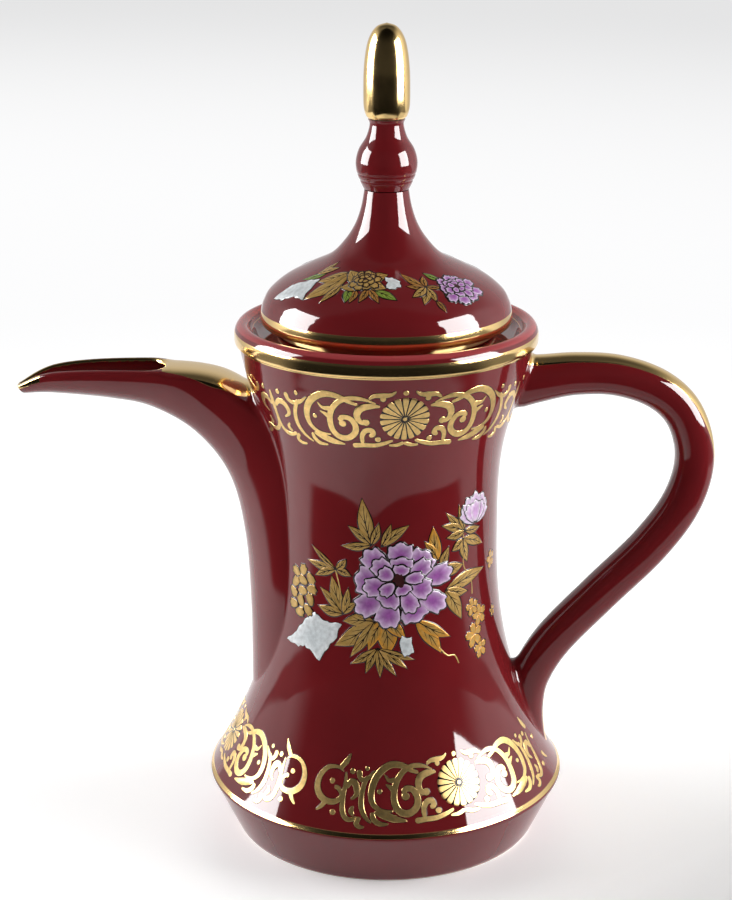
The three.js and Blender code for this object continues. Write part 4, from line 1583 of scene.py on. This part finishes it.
class POT_OT_garland(bpy.types.Operator):
    """Paints the garland on the front and the back of the lid"""

    bl_idname = "pot.garland"
    bl_label = "Lid garland"

    def execute(self, context):
        s = context.scene.pot_ornament
        above_edge = dome_outline()[20:]
        for name, turn in (("front_garland", 0), ("back_garland", 180)):
            ground = Ground(above_edge, s.garland_height, turn)
            ground.radius = ground.at(ground.start)[0]
            art = Ornament(name, ground)
            garland(art)
            art.object(paint_material(), "glaze", "lid", sharp=70)
        return {"FINISHED"}


# The camera stands where the photograph was taken, in front of the pot's axis
CAMERA_DISTANCE = 0.65
CAMERA_HEIGHT = 0.33376
CAMERA_PITCH = math.radians(17.3193)
CAMERA_YAW = math.radians(-0.5851)
CAMERA_ROLL = math.radians(-0.0698)
CAMERA_LENS = 82.449


def place_camera():
    """Camera with its three axes worked out from yaw, pitch and roll."""
    data = bpy.data.cameras.new("photo_camera")
    data.sensor_fit = "AUTO"
    data.sensor_width = 36
    data.lens = CAMERA_LENS
    data.clip_end = 50
    camera = bpy.data.objects.new("photo_camera", data)
    bpy.context.scene.collection.objects.link(camera)
    level = Vector((math.sin(CAMERA_YAW), math.cos(CAMERA_YAW), 0))
    right = Vector((math.cos(CAMERA_YAW), -math.sin(CAMERA_YAW), 0))
    upright = Vector((0, 0, 1))
    forward = level * math.cos(CAMERA_PITCH) - upright * math.sin(CAMERA_PITCH)
    up = level * math.sin(CAMERA_PITCH) + upright * math.cos(CAMERA_PITCH)
    rolled_right = right * math.cos(CAMERA_ROLL) + up * math.sin(CAMERA_ROLL)
    rolled_up = up * math.cos(CAMERA_ROLL) - right * math.sin(CAMERA_ROLL)
    turn = Matrix((rolled_right, rolled_up, -forward)).transposed().to_4x4()
    camera.matrix_world = Matrix.Translation((AXIS_X, -CAMERA_DISTANCE, CAMERA_HEIGHT)) @ turn
    bpy.context.scene.camera = camera


# Lamps: place, point aimed at, width and height, radiance, and whether only mirrors see them
LAMPS = {
    "left_window": ((-0.62, 0.02, 0.4), (0, 0, 0.25), (0.44, 0.44), 18, True),
    "right_window": ((0.58, -0.19, 0.365), (0, 0, 0.2), (0.4, 0.42), 20, True),
    "left_lamp": ((-0.95, 0.1, 0.5), (0, 0, 0.1), (0.8, 0.8), 3.4, False),
    "right_lamp": ((0.95, -0.1, 0.5), (0, 0, 0.1), (0.8, 0.8), 4.6, False),
    "back_lamp": ((0.1, 0.9, 1.0), (0, 0, 0.1), (0.8, 0.8), 1.5, False),
}


def softbox(name, place, aim, size, radiance, mirrored_only):
    """Rectangular lamp whose face shows the given radiance, aimed at a point."""
    data = bpy.data.lights.new(name, "AREA")
    data.shape = "RECTANGLE"
    data.size, data.size_y = size
    data.energy = radiance * math.pi * size[0] * size[1]
    lamp = bpy.data.objects.new(name, data)
    bpy.context.scene.collection.objects.link(lamp)
    lamp.location = place
    lamp.rotation_euler = (Vector(aim) - Vector(place)).to_track_quat("-Z", "Y").to_euler()
    lamp.visible_camera = False
    lamp.visible_diffuse = not mirrored_only
    lamp.visible_glossy = mirrored_only


# Tones of the studio, each as a range from, to, and the strength at its start and end
# What a mirror sees by direction: the camera's side, the side behind the pot, and overhead
CAMERA_SIDE = (-0.45, 0.0, 0.035, 1.15)
FAR_SIDE = (0.3, 0.7, 1.0, 0.6)
OVERHEAD = (0.35, 0.85, 1.0, 0.12)
# The board by its place, in metres: its glow, light painted for the camera and mirrors, and its colour by x
# less y, both lower towards the front right as painted shade, and where it fades into white
BOARD_PAINTED_LIGHT = (-0.05, 0.2, 0.4, 0.12)
BOARD_COLOUR_AND_SHADE = (0.1, 0.22, 0.86, 0.62)
BOARD_FADE = (0.3, 0.8, 0.0, 1.0)
# The white past the board glows less with distance from this corner on the left: painted shade towards the
# far corners
FAR_CORNER = (-0.7, 0, 0)
FAR_WHITE_AND_SHADE = (1.2, 3.2, 1.0, 0.8)
# Where the mirrored board ends: beside the pot and towards the camera, with a bulge, and the room past it
END_BESIDE = (0.44, 0.52, 0.0, 1.0)
END_AHEAD = (0.26, 0.276, 0.0, 1.0)
AHEAD = (-0.03, -0.09, 0.0, 1.0)
BULGE_PLACE = -0.06
BULGE_REACH = 0.045
BULGE_SHARPNESS = 150
ROOM_STRENGTH = (0.2, 0.36, 0.2, 1.0)


def room_tone(tree, direction):
    """How bright a mirror sees the room: dark on the camera's side and overhead, bright beside the pot."""
    _, y, z = tree.axes(tree.vector("NORMALIZE", "Vector", direction))
    level = tree.maths("SQRT", tree.maths("SUBTRACT", 1.0001, tree.maths("MULTIPLY", z, z)))
    away = tree.maths("DIVIDE", y, level)
    sides = tree.maths("MULTIPLY", tree.mapped(away, *CAMERA_SIDE), tree.mapped(away, *FAR_SIDE))
    return tree.maths("MULTIPLY", sides, tree.mapped(z, *OVERHEAD))


def studio_world():
    """A room with bright sides and a dark front, softer for matt surfaces, and white for the camera."""
    world = bpy.data.worlds.new("studio")
    bpy.context.scene.world = world
    tree = Nodes(world)
    tree.nodes.clear()
    tone = room_tone(tree, tree.place("Generated"))
    soft = tree.maths("MULTIPLY_ADD", tone, 0.75, 0.12)
    white = (0.97, 0.97, 0.975, 1)
    mirrored, matt, seen = (tree.add("Background", "Background", {"Color": c}) for c in (tone, soft, white))
    light = tree.faded(tree.ray("Is Glossy Ray"), matt, mirrored)
    light = tree.faded(tree.ray("Is Camera Ray"), light, seen)
    tree.feed(tree.nodes.new("ShaderNodeOutputWorld"), {"Surface": light})


def board_nodes(tree):
    """White board with painted light for the camera and mirrors and painted shade towards the front right,
    fading into plain white away from the pot; mirrored, it ends at the dark room.
    """
    place = tree.place()
    x, y, _ = tree.axes(place)
    aside = tree.maths("SUBTRACT", x, y)
    shader = tree.nodes["Principled BSDF"]
    # Base colour darker towards the front right: painted shade
    colour = tree.mapped(aside, *BOARD_COLOUR_AND_SHADE)
    tree.feed(shader, {"Base Color": colour, "Roughness": 0.6, "Specular IOR Level": 0.1})
    seen = tree.maths("MAXIMUM", tree.ray("Is Camera Ray"), tree.ray("Is Glossy Ray"))
    # Extra glow for camera and mirror rays, weaker towards the front right: painted light and painted shade
    painted_glow = tree.maths("MULTIPLY", tree.mapped(aside, *BOARD_PAINTED_LIGHT), seen)
    painted_glow = tree.add("Emission", "Emission", {"Strength": painted_glow})
    board = tree.add("AddShader", "Shader", {0: shader.outputs["BSDF"], 1: painted_glow})
    distance = tree.vector("LENGTH", "Value", place)
    # White weaker away from the far corner: painted shade
    corner = tree.mapped(tree.vector("DISTANCE", "Value", place, FAR_CORNER), *FAR_WHITE_AND_SHADE)
    white = tree.add("Emission", "Emission", {"Color": (0.98, 0.98, 0.985, 1), "Strength": corner})
    board = tree.faded(tree.mapped(distance, *BOARD_FADE), board, white)
    beside = tree.mapped(tree.maths("ABSOLUTE", x), *END_BESIDE)
    bulge = tree.maths("POWER", tree.maths("SUBTRACT", x, BULGE_PLACE), 2)
    bulge = tree.maths("EXPONENT", tree.maths("MULTIPLY", bulge, -BULGE_SHARPNESS))
    reach = tree.maths("MULTIPLY_ADD", bulge, -BULGE_REACH, distance)
    ahead = tree.maths("MULTIPLY", tree.mapped(reach, *END_AHEAD), tree.mapped(y, *AHEAD))
    past = tree.maths("MULTIPLY", tree.maths("MAXIMUM", beside, ahead), tree.ray("Is Glossy Ray"))
    tone = {"Color": room_tone(tree, place), "Strength": tree.mapped(y, *ROOM_STRENGTH)}
    board = tree.faded(past, board, tree.add("Emission", "Emission", tone))
    tree.feed(tree.nodes["Material Output"], {"Surface": board})


class POT_OT_stage(bpy.types.Operator):
    """Sets the white board, the lamps, the world and the camera"""

    bl_idname = "pot.stage"
    bl_label = "Stage"

    def execute(self, context):
        context.scene.view_settings.view_transform = "Standard"
        place_camera()
        studio_world()
        side = np.linspace(-6, 6, 25)
        x, y = np.meshgrid(side, side)
        board = np.stack([x, y, np.zeros_like(x)], axis=-1)
        mesh = bpy.data.meshes.new("board")
        mesh.from_pydata(board.reshape(-1, 3), [], grid_faces(25, 25, 0, False).tolist())
        mesh.materials.append(made_material("white_board", board_nodes))
        floor = bpy.data.objects.new("board", mesh)
        context.scene.collection.objects.link(floor)
        for name, lamp in LAMPS.items():
            softbox(name, *lamp)
        return {"FINISHED"}


class POT_PT_panel(bpy.types.Panel):
    """Lists the pot's pieces in the sidebar"""

    bl_label = "Pot"
    bl_space_type = "VIEW_3D"
    bl_region_type = "UI"
    bl_category = "Pot"

    def draw(self, context):
        for operator in OPERATORS:
            self.layout.operator(operator.bl_idname)
        for group in SETTINGS:
            box = self.layout.box()
            settings = getattr(context.scene, group)
            for name in settings.__annotations__:
                box.prop(settings, name)


SETTINGS = {
    "pot_body": BodySizes,
    "pot_spout": SpoutSizes,
    "pot_handle": HandleSizes,
    "pot_lid": LidSizes,
    "pot_ornament": OrnamentSizes,
    "pot_finish": Finish,
}
OPERATORS = (
    POT_OT_body,
    POT_OT_spout,
    POT_OT_handle,
    POT_OT_lid,
    POT_OT_finial,
    POT_OT_scrolls,
    POT_OT_bouquets,
    POT_OT_garland,
    POT_OT_stage,
)


def register():
    for group in SETTINGS.values():
        bpy.utils.register_class(group)
    for name, group in SETTINGS.items():
        setattr(bpy.types.Scene, name, PointerProperty(type=group))
    for operator in OPERATORS:
        bpy.utils.register_class(operator)
    bpy.utils.register_class(POT_PT_panel)


def unregister():
    bpy.utils.unregister_class(POT_PT_panel)
    for operator in reversed(OPERATORS):
        bpy.utils.unregister_class(operator)
    for name in SETTINGS:
        delattr(bpy.types.Scene, name)
    for group in reversed(SETTINGS.values()):
        bpy.utils.unregister_class(group)


def main():
    """Makes every piece and the stage."""
    register()
    for operator in OPERATORS:
        category, name = operator.bl_idname.split(".")
        getattr(getattr(bpy.ops, category), name)()


if __name__ == "__main__":
    main()
